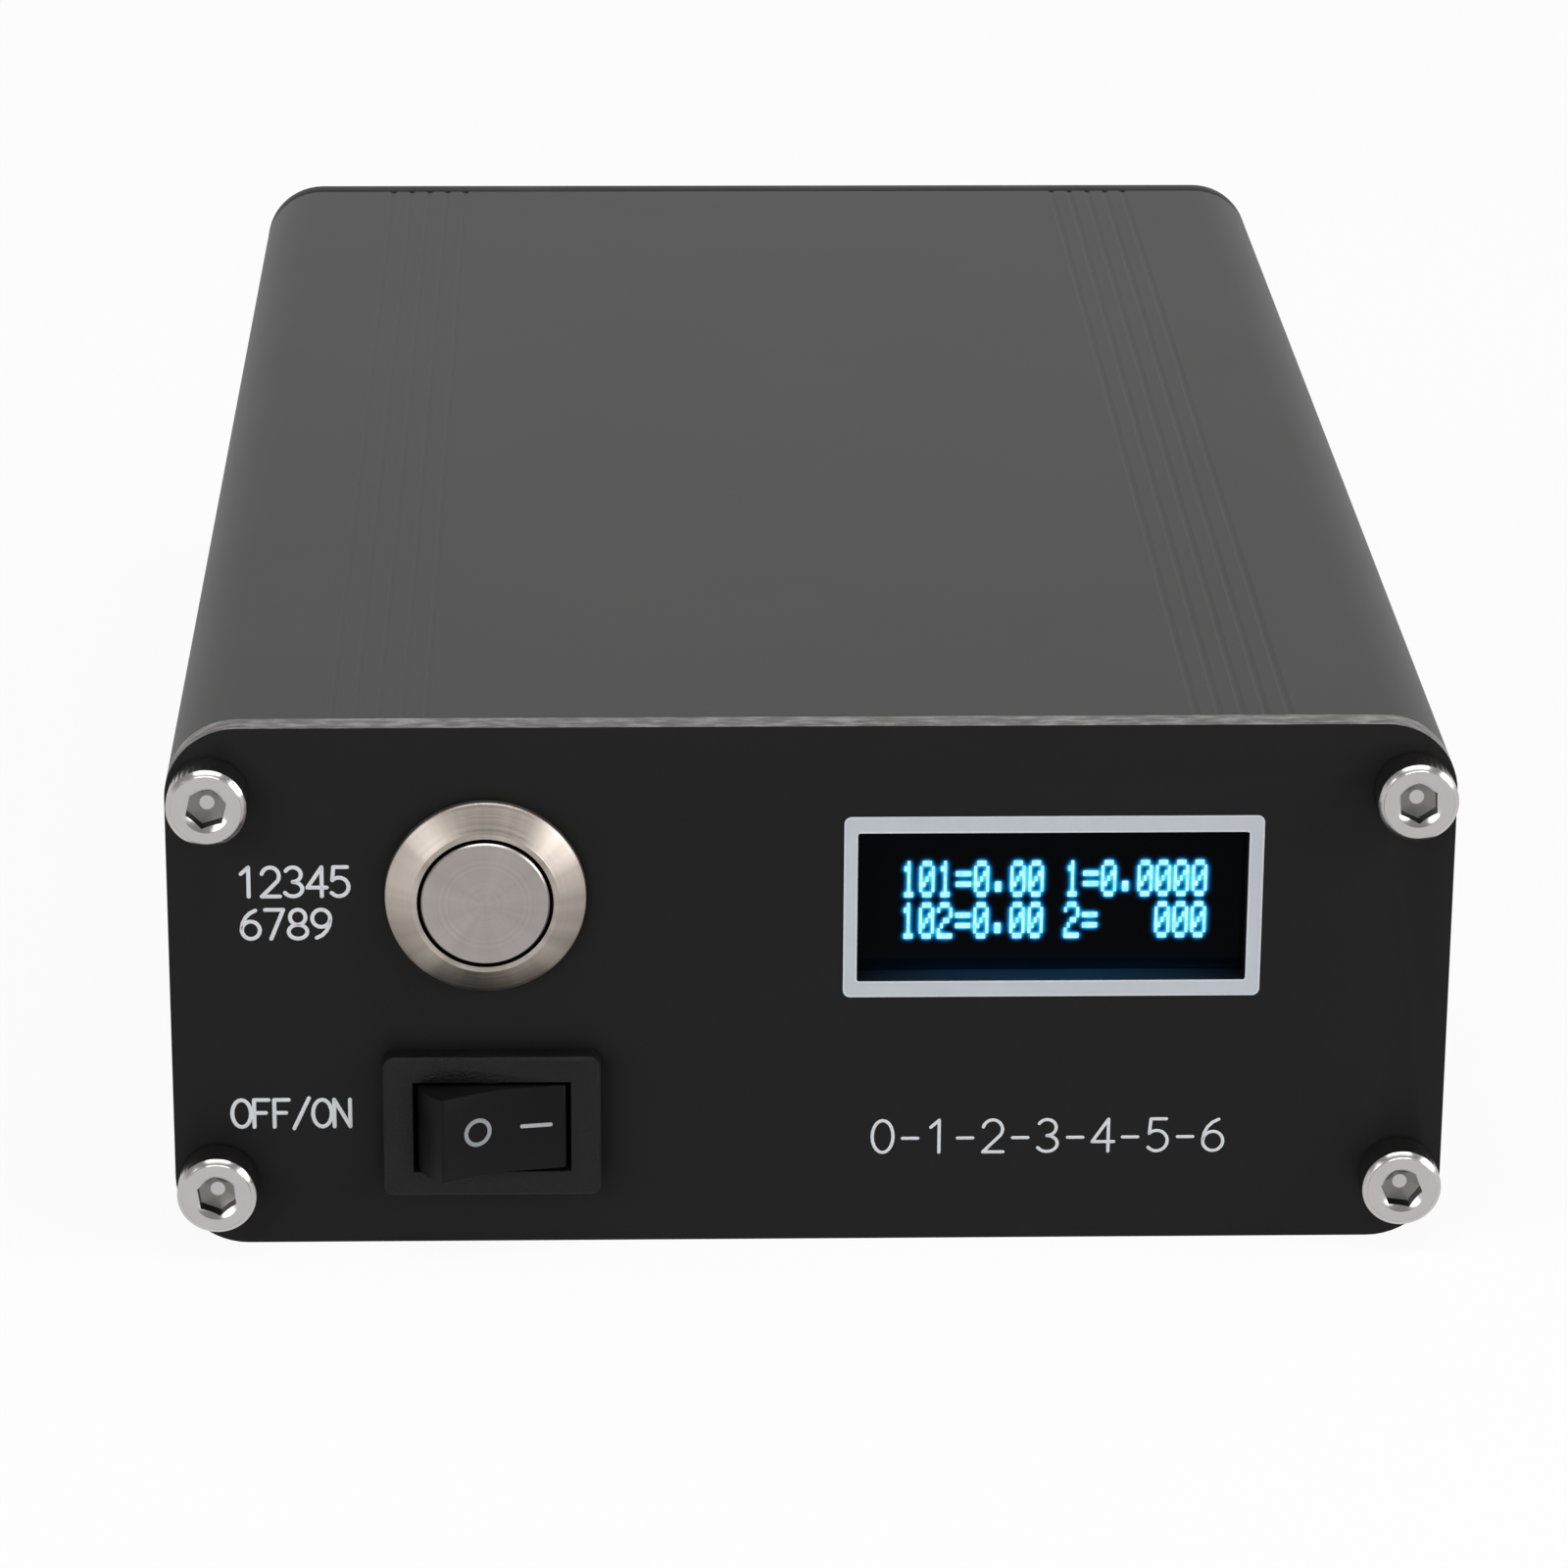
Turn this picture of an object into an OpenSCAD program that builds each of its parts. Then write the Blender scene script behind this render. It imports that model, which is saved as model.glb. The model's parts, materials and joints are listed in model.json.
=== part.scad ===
// Automatic antenna tuner in a split extruded case, in millimetres.
// The front panel faces -Y, +Z is up, and the origin is at the middle of the underside.

/* [Case] */
// Width of the case
case_w = 88; // [86:1:100]
// Height of the case
case_h = 38; // [38:0.5:46]
// Length of the two extruded shells, without the end panels
case_l = 140; // [126:1:180]
// Outside corner radius of the shells and the end panels
corner_r = 5; // [4.5:0.25:6]
// Wall thickness of the shells
wall_t = 1.8; // [1.6:0.1:2.2]
// Thickness of the end panels
panel_t = 2; // [1.2:0.1:2.4]
// Clearance between fixed pieces that slide together
fit_gap = 0.1; // [0.05:0.01:0.15]
// Wall thickness at the seam between the shells, with its tongue
seam_t = 3.2; // [2.8:0.1:3.6]
// Height of the thick stretch of wall under the seam
seam_h = 4; // [3:0.25:5]
// Thickness of the tongue at the seam
tongue_t = 1.5; // [1.2:0.1:1.7]
// Height of the tongue at the seam
tongue_h = 1.5; // [1:0.1:2]
// Number of fine grooves in each band on the top and the underside
groove_n = 5; // [3:1:6]
// Distance between neighbouring grooves
groove_pitch = 1.6; // [1.2:0.1:1.8]
// Depth of a groove
groove_d = 0.12; // [0.1:0.01:0.25]
// Width of a groove
groove_w = 0.6; // [0.4:0.05:0.8]
// Distance from the middle of the case to the middle of a groove band
groove_x = 29.4; // [27:0.1:31]

/* [Panel screws] */
// Thread diameter of the panel screws
screw_d = 3; // [2.6:0.1:3.2]
// Diameter of a screw head
head_d = 5.5; // [5:0.1:5.8]
// Height of a screw head
head_h = 3; // [2.4:0.1:3.4]
// Width across the flats of the hexagon socket
hex_af = 2.5; // [2:0.1:2.8]
// Depth of the hexagon socket
hex_depth = 1.5; // [1:0.1:1.8]
// Length of a panel screw under its head
screw_l = 10; // [8:0.5:14]
// Distance from the side of the case to a panel screw
screw_in_x = 3; // [2.9:0.1:3.6]
// Distance from the top or the underside of the case to a panel screw
screw_in_z = 4.75; // [4.25:0.05:5.25]
// Radius of the screw ports in the shells
port_r = 3.2; // [2.8:0.1:3.5]
// Width of the slot along a screw port
port_slot = 1; // [0.8:0.1:1.4]
// Radial clearance round a screw's thread
thread_gap = 0.05; // [0.03:0.01:0.08]

/* [Push button] */
// Button axis, right of the panel's middle
button_x = -22.3; // [-24:0.1:-21]
// Button axis, above the panel's middle
button_z = 6.9; // [6.6:0.1:8]
// Thread diameter of the button's barrel
barrel_d = 11.8; // [11.6:0.1:12.2]
// Length of the barrel under its flange
barrel_l = 18; // [16:0.5:20]
// Diameter of the button's flange
flange_d = 13.8; // [13.6:0.1:14.4]
// Height of the flange in front of the panel
flange_h = 1.7; // [1.5:0.1:2.2]
// Height of the straight rim of the flange
rim_h = 0.6; // [0.4:0.05:0.8]
// Diameter of the flat ring inside the flange's cone
ring_d = 10; // [9.8:0.1:10.4]
// Diameter of the push cap
cap_d = 8.84; // [8.6:0.02:9]
// Gap round the push cap
cap_gap = 0.2; // [0.15:0.01:0.25]
// How far the cap stands proud of the ring
cap_proud = 0.2; // [0.1:0.05:0.4]
// How far the cap can be pushed in
button_travel = 1.5; // [1:0.1:1.8]
// Width across the flats of the button's nut
button_nut_af = 14; // [13.6:0.1:15]
// Thickness of the button's nut
button_nut_t = 2.2; // [1.8:0.1:3]
// Wire diameter of the return spring
spring_wire = 0.5; // [0.4:0.05:0.6]
// Turns of the return spring
spring_turns = 5; // [4:1:6]

/* [Rocker switch] */
// Switch axis, right of the panel's middle
switch_x = -22; // [-24:0.1:-21]
// Switch axis, above the panel's middle
switch_z = -9.7; // [-10.5:0.1:-9.5]
// Width of the switch's bezel
bezel_w = 15; // [14.6:0.1:16]
// Height of the switch's bezel
bezel_h = 10.3; // [10:0.1:11]
// Thickness of the bezel in front of the panel
bezel_t = 1.6; // [1.4:0.1:1.8]
// Width of the opening for the rocker
well_w = 10.9; // [10.7:0.05:11.1]
// Height of the opening for the rocker
well_h = 6.7; // [6.4:0.1:6.9]
// Wall thickness of the switch's body
switch_wall = 1; // [0.9:0.05:1.1]
// Depth of the switch's body behind the panel's front face
switch_depth = 12; // [11:0.5:14]
// Clearance round the rocker
rocker_gap = 0.25; // [0.2:0.01:0.3]
// Tilt of the rocker from its middle position when it is on or off
rocker_tilt = 18; // [14:1:18]
// Angle by which each half of the rocker's face leans towards the other
rocker_v = 6; // [4:0.5:8]
// Height of the middle of the rocker's face above its pivot
rocker_rise = 2.55; // [2.3:0.05:2.7]
// Depth of the pivot behind the bezel's face
pivot_depth = 1.25; // [1.15:0.05:1.3]
// Diameter of the pivot
pivot_d = 1.8; // [1.5:0.1:2]
// Width of the switch's blade terminals
blade_w = 4.8; // [4:0.1:5]
// Thickness of the switch's blade terminals
blade_t = 0.8; // [0.6:0.1:0.9]
// Length of the switch's blade terminals
blade_l = 7; // [6:0.5:8]

/* [Display] */
// Middle of the display window, right of the panel's middle
display_x = 16.5; // [16:0.1:18]
// Middle of the display window, above the panel's middle
display_z = 5.8; // [5:0.1:6.5]
// Width of the display window
window_w = 26.7; // [24:0.1:28]
// Height of the display window
window_h = 10.8; // [8:0.1:11]
// Width of the display glass
glass_w = 30; // [29:0.5:32]
// Height of the display glass
glass_h = 11.6; // [11.4:0.1:12]
// Thickness of the display glass, in two equal sheets
glass_t = 1.4; // [1.2:0.1:1.8]
// Width of the display's circuit board
module_w = 38; // [37:0.5:40]
// Height of the display's circuit board
module_h = 12; // [12:0.1:13]
// Thickness of the display's circuit board
module_t = 1.2; // [1:0.1:1.6]
// Width of each foam pad that holds the display's board to the panel
pad_w = 1.8; // [1.4:0.1:2.4]

/* [Rear sockets] */
// Antenna socket, in from the right side of the case seen from the front
antenna_in = 20; // [19:0.5:21]
// Transmitter socket, right of the panel's middle seen from the front
transmitter_x = -8; // [-9:0.5:-6]
// Outside diameter of a socket's thread
thread_d = 15.88; // [15.5:0.01:16.2]
// Length of a socket's thread in front of its flange
thread_l = 11.5; // [10:0.5:13]
// Bore of a socket's shell
shell_bore = 12.8; // [12.4:0.1:13]
// Side of a socket's square flange
socket_w = 25.4; // [25:0.1:26]
// Thickness of a socket's flange
socket_t = 3; // [2.5:0.1:3.5]
// Distance between the screws of a socket's flange
socket_pitch = 18.2; // [17.8:0.1:18.6]
// Bore of a socket's centre contact
contact_bore = 4; // [3.9:0.01:4.1]
// Outside diameter of a socket's centre contact
contact_d = 5.8; // [5.4:0.1:6]
// Diameter of a contact's solder pin behind the panel
tail_d = 3; // [2.6:0.1:3.4]
// Length of a contact's solder pin behind its insulator
tail_l = 7; // [6:0.5:8]
// Thickness of the nuts on the flange screws
socket_nut_t = 2.4; // [2:0.1:2.6]
// Width across the flats of the nuts on the flange screws
socket_nut_af = 5.5; // [5.3:0.1:5.7]

/* [Power inlet] */
// Power inlet, in from the left side of the case seen from the front
jack_in = 12; // [11:0.5:14]
// Thread diameter of the power inlet
jack_d = 7.8; // [7.6:0.1:8.4]
// Diameter of the inlet's front flange
jack_flange_d = 10.6; // [10:0.1:11.4]
// Thickness of the inlet's front flange
jack_flange_t = 1.6; // [1.2:0.1:2]
// Length of the inlet behind its flange
jack_l = 12; // [11:0.5:14]
// Bore that takes the plug
jack_bore = 5.8; // [5.6:0.1:6]
// Depth of the bore
jack_depth = 10; // [9:0.5:11]
// Diameter of the centre pin
jack_pin_d = 2.1; // [2:0.1:2.5]
// Width across the flats of the inlet's nut
jack_nut_af = 10.8; // [10.4:0.1:11.4]
// Thickness of the inlet's nut
jack_nut_t = 2; // [1.6:0.1:2.6]

/* [Circuit board] */
// Underside of the circuit board above the underside of the case
board_z = 9.5; // [9.4:0.1:10]
// Thickness of the circuit board
board_t = 1.6; // [1.4:0.1:1.8]
// Distance from the front panel to the circuit board
board_front_in = 23; // [22.5:0.5:26]
// Distance from the rear panel to the circuit board
board_back_in = 19; // [18.5:0.5:22]
// How far the guide rails reach in from the walls
rail_reach = 2; // [1.5:0.1:2.4]
// Thickness of a guide rail
rail_t = 1.2; // [1:0.1:1.2]
// Length of a relay, across the case
relay_l = 15.6; // [14.5:0.1:16]
// Width of a relay, along the case
relay_w = 10.6; // [9.5:0.1:11]
// Height of a relay
relay_h = 11.6; // [10:0.1:14]
// Distance between neighbouring relays
relay_pitch = 12.4; // [12:0.1:12.6]
// Gap between a guide rail and the relays beside it
relay_gap = 1.2; // [0.8:0.1:1.6]
// Outside diameter of an inductor core
core_od = 14.8; // [14.6:0.1:15.8]
// Inside diameter of an inductor core
core_id = 8.6; // [8.2:0.1:9]
// Thickness of an inductor core
core_t = 4.8; // [4:0.1:5.2]
// Number of wound inductor cores, where the board has room for them
core_n = 4; // [2:1:4]
// Turns on an inductor core
core_turns = 12; // [8:1:14]
// Diameter of the enamelled wire
wire_d = 0.8; // [0.6:0.05:0.9]
// Radius of an air coil at the middle of its wire
coil_r = 2.8; // [2.6:0.1:3.2]
// Turns of an air coil
coil_turns = 5; // [3:1:6]
// Distance between the turns of an air coil
coil_pitch = 1.5; // [1.4:0.05:1.8]
// Outside diameter of a cable core of the power meter
meter_od = 12.6; // [12:0.1:13]
// Inside diameter of a cable core of the power meter
meter_id = 6; // [5.6:0.1:6.4]
// Turns on a cable core of the power meter
meter_turns = 10; // [8:1:12]

/* [Hidden] */

$fn = 48;
cut = 1;
front_y = -case_l / 2 - panel_t;
back_y = case_l / 2 + panel_t;
mid_z = case_h / 2;
screw_x = case_w / 2 - screw_in_x;
screw_z = case_h / 2 - screw_in_z;
screw_hole_r = screw_d / 2 + thread_gap;
clear_hole_r = screw_d / 2 + 2 * fit_gap;
groove_r = (groove_w * groove_w / 4 + groove_d * groove_d) / (2 * groove_d);
seam_v = 0.3;

// Colours of the pieces
anodised = [0.34, 0.34, 0.34];
panel_black = [0.14, 0.14, 0.14];
nickel = [0.76, 0.75, 0.74];
steel = [0.66, 0.63, 0.6];
moulded_black = [0.11, 0.11, 0.11];
board_green = [0.1, 0.35, 0.2];
gold_brass = [0.8, 0.66, 0.35];
copper = [0.72, 0.42, 0.24];
white_insulator = [0.93, 0.93, 0.9];

// Push button, along its axis from the panel's front face
barrel_hole_r = barrel_d / 2 + 2 * fit_gap;
cap_hole_d = cap_d + 2 * cap_gap;
lip_t = 0.8;
skirt_reach = 0.35;
cap_skirt_d = cap_hole_d + 2 * skirt_reach;
barrel_bore = cap_skirt_d + 2 * cap_gap;
cap_top = flange_h + cap_proud;
skirt_top = flange_h - lip_t - fit_gap;
skirt_t = 2;
skirt_bottom = skirt_top - skirt_t;
stem_d = 3.6;
spring_slack = 1;
spring_room = button_travel + (spring_turns + 1) * spring_wire + spring_slack;
base_top = skirt_bottom - spring_room;
stem_over = 1;
stem_l = spring_room + button_travel + stem_over;
base_out = 1.5;
base_bottom = -barrel_l - base_out;
base_spare = 3;
base_socket = base_top - 2 * button_travel - base_spare;
base_step = 0.4;
base_r = barrel_d / 2 - base_step;
seal_t = 0.4;
seal_w = 0.55;
pin_d = 1.2;
pin_out = 5;
pin_in = 2;
pin_x = 2.2;

// Rocker switch, from the panel's front face
rocker_r = well_w / 2 - rocker_gap;
rocker_w = well_h - 2 * rocker_gap;
pivot_z = bezel_t - pivot_depth;
pivot_l = 0.7;
body_w = well_w + 2 * switch_wall;
body_h = well_h + 2 * switch_wall;
floor_gap = 1;
well_floor = pivot_z - rocker_r - floor_gap;
barb_reach = 0.5;
barb_l = 3.5;
blade_x = 3.3;

// Display, from the panel's front face
glass_back = -panel_t - glass_t;
module_back = glass_back - module_t;
display_ways = 4;
lead_pitch = 2.54;
plug_t = 2.6;
plug_l = 12;
plug_in = 2;
plug_x = display_x - module_w / 2 + plug_in;

// Rear sockets, from the rear panel's outer face
antenna_x = case_w / 2 - antenna_in;
socket_step = 0.5;
socket_floor = socket_t - socket_step;
insulator_rise = 4.5;
insulator_top = socket_t + insulator_rise;
insulator_reach = 3;
insulator_back = -panel_t - insulator_reach;
boss_step = 0.3;
boss_r = thread_d / 2 - boss_step;
boss_out = 2;
boss_l = panel_t + boss_out;
throat_wall = 1.6;
throat_r = contact_d / 2 + throat_wall;
contact_set = 2;
contact_top = socket_t + thread_l - contact_set;
contact_depth = 12;
pan_h = 1.9;
screw_over = 1;
flange_screw_l = socket_t + panel_t + socket_nut_t + screw_over;
tail_y = back_y + insulator_back - tail_l;
jack_x = -case_w / 2 + jack_in;
jack_floor = jack_flange_t - jack_depth;
tab_w = 2;
tab_t = 0.5;
tab_l = 4;
tab_x = 2.2;
tab_y = back_y - jack_l - tab_l;

// Circuit board
board_w = case_w - 2 * wall_t - 2 * fit_gap;
top_z = board_z + board_t;
board_front = -case_l / 2 + board_front_in;
board_back = case_l / 2 - board_back_in;
board_l = board_back - board_front;
board_y = (board_front + board_back) / 2;
part_gap = 0.9;
lead_zone = 5;
pad_in = 3;

// Relays and disc capacitors along the sides of the board
relay_x = case_w / 2 - wall_t - rail_reach - relay_gap - relay_l / 2;
relay_edge = relay_x - relay_l / 2;
relay_margin = 4;
relay_n = floor((board_l - 2 * relay_margin) / relay_pitch);
disc_t = 2.6;
disc_x = relay_edge - part_gap - disc_t / 2;
disc_edge = disc_x - disc_t / 2;

// Headers in a row at the front of the board
header_in = 4;
header_y = board_front + header_in;
header_h = 6;
header_depth = 6;
header_wall = 0.8;
header_gap = 1.4;
control_ways = 2;
control_w = header_w(control_ways);
header_row = 2 * control_w + header_w(display_ways) + 2 * header_gap;
power_plug_x = (control_w - header_row) / 2;
button_plug_x = power_plug_x + control_w + header_gap;
display_plug_x = (header_row - header_w(display_ways)) / 2;
plug_rise = 3;
plug_top = top_z + header_h + plug_rise;

// Wound cores from the rear of the board forwards, with air coils in the room that is left
wire_gap = 0.15;
core_wrap = wire_d + wire_gap + fit_gap;
core_lift = 2 * core_wrap;
core_x = relay_edge - part_gap - core_wrap - core_od / 2;
core_pitch = core_od + 2 * core_wrap + part_gap;
first_core_y = board_back - lead_zone - core_od / 2 - core_wrap;
coil_lift = 0.6;
coil_room = 2 * coil_r + wire_d + part_gap;
core_room = board_l - lead_zone - header_in - header_depth / 2 - coil_room;
core_count = min(core_n, floor(core_room / core_pitch));
coil_start = first_core_y - core_count * core_pitch + core_od / 2 + core_wrap;
coil_n = floor((coil_start - header_y - header_depth / 2) / coil_room);
meter_x = disc_edge - part_gap - core_wrap - meter_od / 2;
meter_n = 2;
meter_pitch = meter_od + 2 * core_wrap + part_gap;
first_meter_y = board_back - lead_zone - meter_od / 2 - core_wrap;

// Microcontroller before the meter's cores, with the power supply beside it
chip_l = 35.6;
chip_w = 7.2;
chip_h = 3.4;
chip_lift = 0.9;
chip_pins = 14;
chip_pin = 0.6;
chip_pin_h = 2;
chip_top_y = first_meter_y - meter_n * meter_pitch + meter_od / 2 + core_wrap;
can_d = 6.3;
can_h = 11.5;
can_n = 2;
can_pitch = can_d + part_gap;
supply_x = disc_edge - part_gap - can_d / 2;
chip_x = supply_x - can_d / 2 - part_gap - (chip_w + chip_pin) / 2;
regulator_w = 10;
regulator_t = 4.4;
regulator_h = 9;
regulator_y = chip_top_y - can_n * can_pitch - regulator_w / 2;
lead_d = 1.2;
coax_d = 2;
lead_bend = 14;

// Width of a header with that number of ways
function header_w(ways) = ways * lead_pitch + 2 * header_wall;

// Unit vector along v
function unit(v) = v / norm(v);

// Direction of a route at point i
function along(p, i) = unit(p[min(i + 1, len(p) - 1)] - p[max(i - 1, 0)]);

// Side vectors carried along a route without twisting
function sides_of(p, n, i = 0, done = []) =
    i == len(p) ? done
    : let (t = along(p, i), m = unit(n - (n * t) * t)) sides_of(p, m, i + 1, concat(done, [m]));

// A vector that isn't along t
function off_axis(t) = abs(t.z) < 0.8 ? [0, 0, 1] : [1, 0, 0];

// Smooth curve through points, with n steps from each to the next and straight first and last stretches
function blend(a, b, c, d, u) =
    0.5 * (2 * b + (c - a) * u + (2 * a - 5 * b + 4 * c - d) * u * u + (3 * b - a - 3 * c + d) * u * u * u);
function smooth(p, n) = concat([p[0]],
    [for (i = [1 : len(p) - 3], k = [0 : n - 1]) blend(p[i - 1], p[i], p[i + 1], p[i + 2], k / n)],
    [p[len(p) - 2], p[len(p) - 1]]);

// Round tube along a route, closed at both ends
module tube(p, d, n = 6) {
    m = sides_of(p, off_axis(along(p, 0)));
    last = len(p) - 1;
    rings = [for (i = [0 : last], k = [0 : n - 1])
        let (t = along(p, i), a = 360 * k / n) p[i] + d / 2 * (m[i] * cos(a) + cross(t, m[i]) * sin(a))];
    walls = [for (i = [0 : last - 1], k = [0 : n - 1], half = [0, 1])
        let (a = i * n + k, b = i * n + (k + 1) % n)
        half == 0 ? [a, a + n, b] : [b, a + n, b + n]];
    start = [for (k = [1 : n - 2]) [0, k, k + 1]];
    end = [for (k = [1 : n - 2]) [last * n, last * n + k + 1, last * n + k]];
    polyhedron(rings, concat(walls, start, end));
}

// Least gap between stretches of a wound tube that are at least skip points apart
function least_gap(p, d, skip) =
    min([for (i = [0 : len(p) - 1 - skip]) min([for (j = [i + skip : len(p) - 1]) norm(p[i] - p[j])])]) - d;

module print_gap(name, p, d, skip) echo(str("least gap of ", name, " to itself"), least_gap(p, d, skip));

// Rectangle with round corners
module round_rect(w, h, r) {
    square([w - 2 * r, h], center = true);
    square([w, h - 2 * r], center = true);
    for (x = [-1, 1], y = [-1, 1]) translate([x * (w / 2 - r), y * (h / 2 - r)]) circle(r);
}

// Places children on an end panel's outer face: x to the viewer's right, y up, z towards the viewer
module on_front(x, z) translate([x, front_y, mid_z + z]) rotate([90, 0, 0]) children();
module on_back(x, z) translate([x, back_y, mid_z + z]) rotate([90, 0, 180]) children();

// Places children at each panel screw
module at_panel_screws() {
    for (x = [-1, 1], y = [-1, 1]) translate([x * screw_x, y * screw_z]) children();
}

// Places children at each screw of a socket's flange
module at_socket_screws() {
    for (x = [-1, 1], y = [-1, 1]) translate([x, y] * socket_pitch / 2) children();
}

// Cross-section of one shell, drawn as the lower one about the middle of the case.
// Turned by half a turn it is the upper one, so both shells are cut from one extrusion.
module shell_section() {
    inner_x = case_w / 2 - wall_t;
    slot_low = board_z - fit_gap - mid_z;
    slot_high = board_z + board_t + fit_gap - mid_z;
    difference() {
        union() {
            intersection() {
                difference() {
                    round_rect(case_w, case_h, corner_r);
                    round_rect(case_w - 2 * wall_t, case_h - 2 * wall_t, corner_r - wall_t);
                }
                translate([-case_w, -case_h]) square([2 * case_w, case_h]);
            }
            intersection() {
                round_rect(case_w, case_h, corner_r);
                for (s = [-1, 1]) translate([s * screw_x, -screw_z]) circle(port_r);
            }
            for (s = [-1, 1], z = [slot_low - rail_t, slot_high])
                translate([s * (inner_x - rail_reach / 2), z + rail_t / 2])
                    square([rail_reach, rail_t], center = true);
            for (s = [-1, 1])
                translate([s * (case_w - seam_t) / 2, -seam_h / 2]) square([seam_t, seam_h], center = true);
            translate([-case_w / 2 + seam_t - tongue_t, -tongue_h]) square([tongue_t, 2 * tongue_h]);
        }
        for (s = [-1, 1]) {
            translate([s * screw_x, -screw_z]) {
                circle(screw_hole_r);
                translate([-port_slot / 2, 0]) square([port_slot, port_r + cut]);
            }
            translate([s * case_w / 2, 0]) circle(seam_v);
            for (i = [0 : groove_n - 1])
                translate([s * (groove_x + (i - (groove_n - 1) / 2) * groove_pitch),
                    groove_d - groove_r - case_h / 2])
                    circle(groove_r);
        }
        translate([case_w / 2 - seam_t - cut, -tongue_h - fit_gap])
            square([tongue_t + fit_gap + cut, tongue_h + fit_gap + cut]);
    }
}

module shell(turn) {
    translate([0, 0, mid_z]) rotate([90, 0, 0])
        linear_extrude(case_l, center = true) rotate(turn) shell_section();
}

module upper_shell() color(anodised) shell(180);

module lower_shell() color(anodised) shell(0);

// End panel without its own openings, from its inner face at -panel_t to its outer face at 0
module end_panel() {
    translate([0, 0, -panel_t]) linear_extrude(panel_t) difference() {
        round_rect(case_w, case_h, corner_r);
        at_panel_screws() circle(clear_hole_r);
        children();
    }
}

module front_panel() color(panel_black) on_front(0, 0) end_panel() {
    translate([button_x, button_z]) circle(barrel_hole_r);
    translate([switch_x, switch_z])
        square([body_w + 2 * fit_gap, body_h + 2 * fit_gap], center = true);
    translate([display_x, display_z]) square([window_w, window_h], center = true);
}

module rear_panel() color(panel_black) on_back(0, 0) end_panel() {
    for (x = [antenna_x, transmitter_x]) translate([-x, 0]) {
        circle(boss_r + 2 * fit_gap);
        at_socket_screws() circle(clear_hole_r);
    }
    translate([-jack_x, 0]) circle(jack_d / 2 + fit_gap);
}

// Screw standing on z = 0, with a hexagon socket in its head
module socket_screw(l, h) {
    chamfer = 0.3;
    difference() {
        rotate_extrude() polygon([[0, -l], [screw_d / 2 - chamfer, -l], [screw_d / 2, -l + chamfer],
            [screw_d / 2, 0], [head_d / 2, 0], [head_d / 2, h - chamfer], [head_d / 2 - chamfer, h], [0, h]]);
        translate([0, 0, h - min(hex_depth, h - 0.6)]) cylinder(cut + h, d = hex_af / cos(30), $fn = 6);
    }
}

module front_panel_screws() color(nickel) on_front(0, 0) at_panel_screws() socket_screw(screw_l, head_h);

module rear_panel_screws() color(nickel) on_back(0, 0) at_panel_screws() socket_screw(screw_l, head_h);

module button_housing() {
    seal_r = barrel_d / 2;
    color(steel) on_front(button_x, button_z) rotate_extrude() polygon([
        [cap_hole_d / 2, flange_h], [ring_d / 2, flange_h], [flange_d / 2, rim_h], [flange_d / 2, 0],
        [seal_r + seal_w + fit_gap, 0], [seal_r + seal_w + fit_gap, seal_t], [seal_r, seal_t],
        [seal_r, -barrel_l], [barrel_bore / 2, -barrel_l], [barrel_bore / 2, flange_h - lip_t],
        [cap_hole_d / 2, flange_h - lip_t]]);
}

module button_seal() color(moulded_black) on_front(button_x, button_z) difference() {
    cylinder(seal_t, r = barrel_d / 2 + seal_w);
    translate([0, 0, -cut]) cylinder(seal_t + 2 * cut, r = barrel_d / 2 + fit_gap);
}

module button_cap() {
    edge = 0.15;
    color(steel) on_front(button_x, button_z) rotate_extrude() polygon([
        [0, cap_top], [cap_d / 2 - edge, cap_top], [cap_d / 2, cap_top - edge], [cap_d / 2, skirt_top],
        [cap_skirt_d / 2, skirt_top], [cap_skirt_d / 2, skirt_bottom], [stem_d / 2, skirt_bottom],
        [stem_d / 2, skirt_bottom - stem_l], [0, skirt_bottom - stem_l]]);
}

// Return spring round the cap's stem, from the cap's skirt to the base
module button_spring() {
    steps = 12;
    mean_r = (stem_d + barrel_bore) / 4;
    low = base_top + spring_wire / 2 + fit_gap;
    high = skirt_bottom - spring_wire / 2 - fit_gap;
    path = [for (i = [0 : spring_turns * steps])
        let (u = i / (spring_turns * steps), a = 360 * i / steps)
        [mean_r * cos(a), mean_r * sin(a), low + (high - low) * u]];
    print_gap("the return spring", path, spring_wire, steps / 2);
    color(steel) on_front(button_x, button_z) tube(path, spring_wire);
}

module button_base() {
    guide_r = stem_d / 2 + cap_gap;
    color(moulded_black) on_front(button_x, button_z) difference() {
        rotate_extrude() polygon([[guide_r, base_top], [barrel_bore / 2 - fit_gap, base_top],
            [barrel_bore / 2 - fit_gap, -barrel_l], [base_r, -barrel_l], [base_r, base_bottom],
            [0, base_bottom], [0, base_socket], [guide_r, base_socket]]);
        for (s = [-1, 1]) translate([s * pin_x, 0, base_bottom - cut])
            cylinder(cut + pin_in, d = pin_d + 2 * thread_gap);
    }
}

module button_terminals() color(gold_brass) on_front(button_x, button_z) {
    for (s = [-1, 1]) translate([s * pin_x, 0, base_bottom - pin_out]) cylinder(pin_out + pin_in, d = pin_d);
}

// Hexagon nut from z = 0 to t
module hex_nut(af, t, bore) {
    difference() {
        cylinder(t, d = af / cos(30), $fn = 6);
        translate([0, 0, -cut]) cylinder(t + 2 * cut, r = bore);
    }
}

module button_nut() color(nickel) on_front(button_x, button_z)
    translate([0, 0, -panel_t - button_nut_t])
        hex_nut(button_nut_af, button_nut_t, barrel_d / 2 + thread_gap);

// Section of a plate with broken front edges
module bevelled(w, t, edge) polygon([[-w / 2, 0], [w / 2, 0], [w / 2, t - edge], [w / 2 - edge, t],
    [-w / 2 + edge, t], [-w / 2, t - edge]]);

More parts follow.
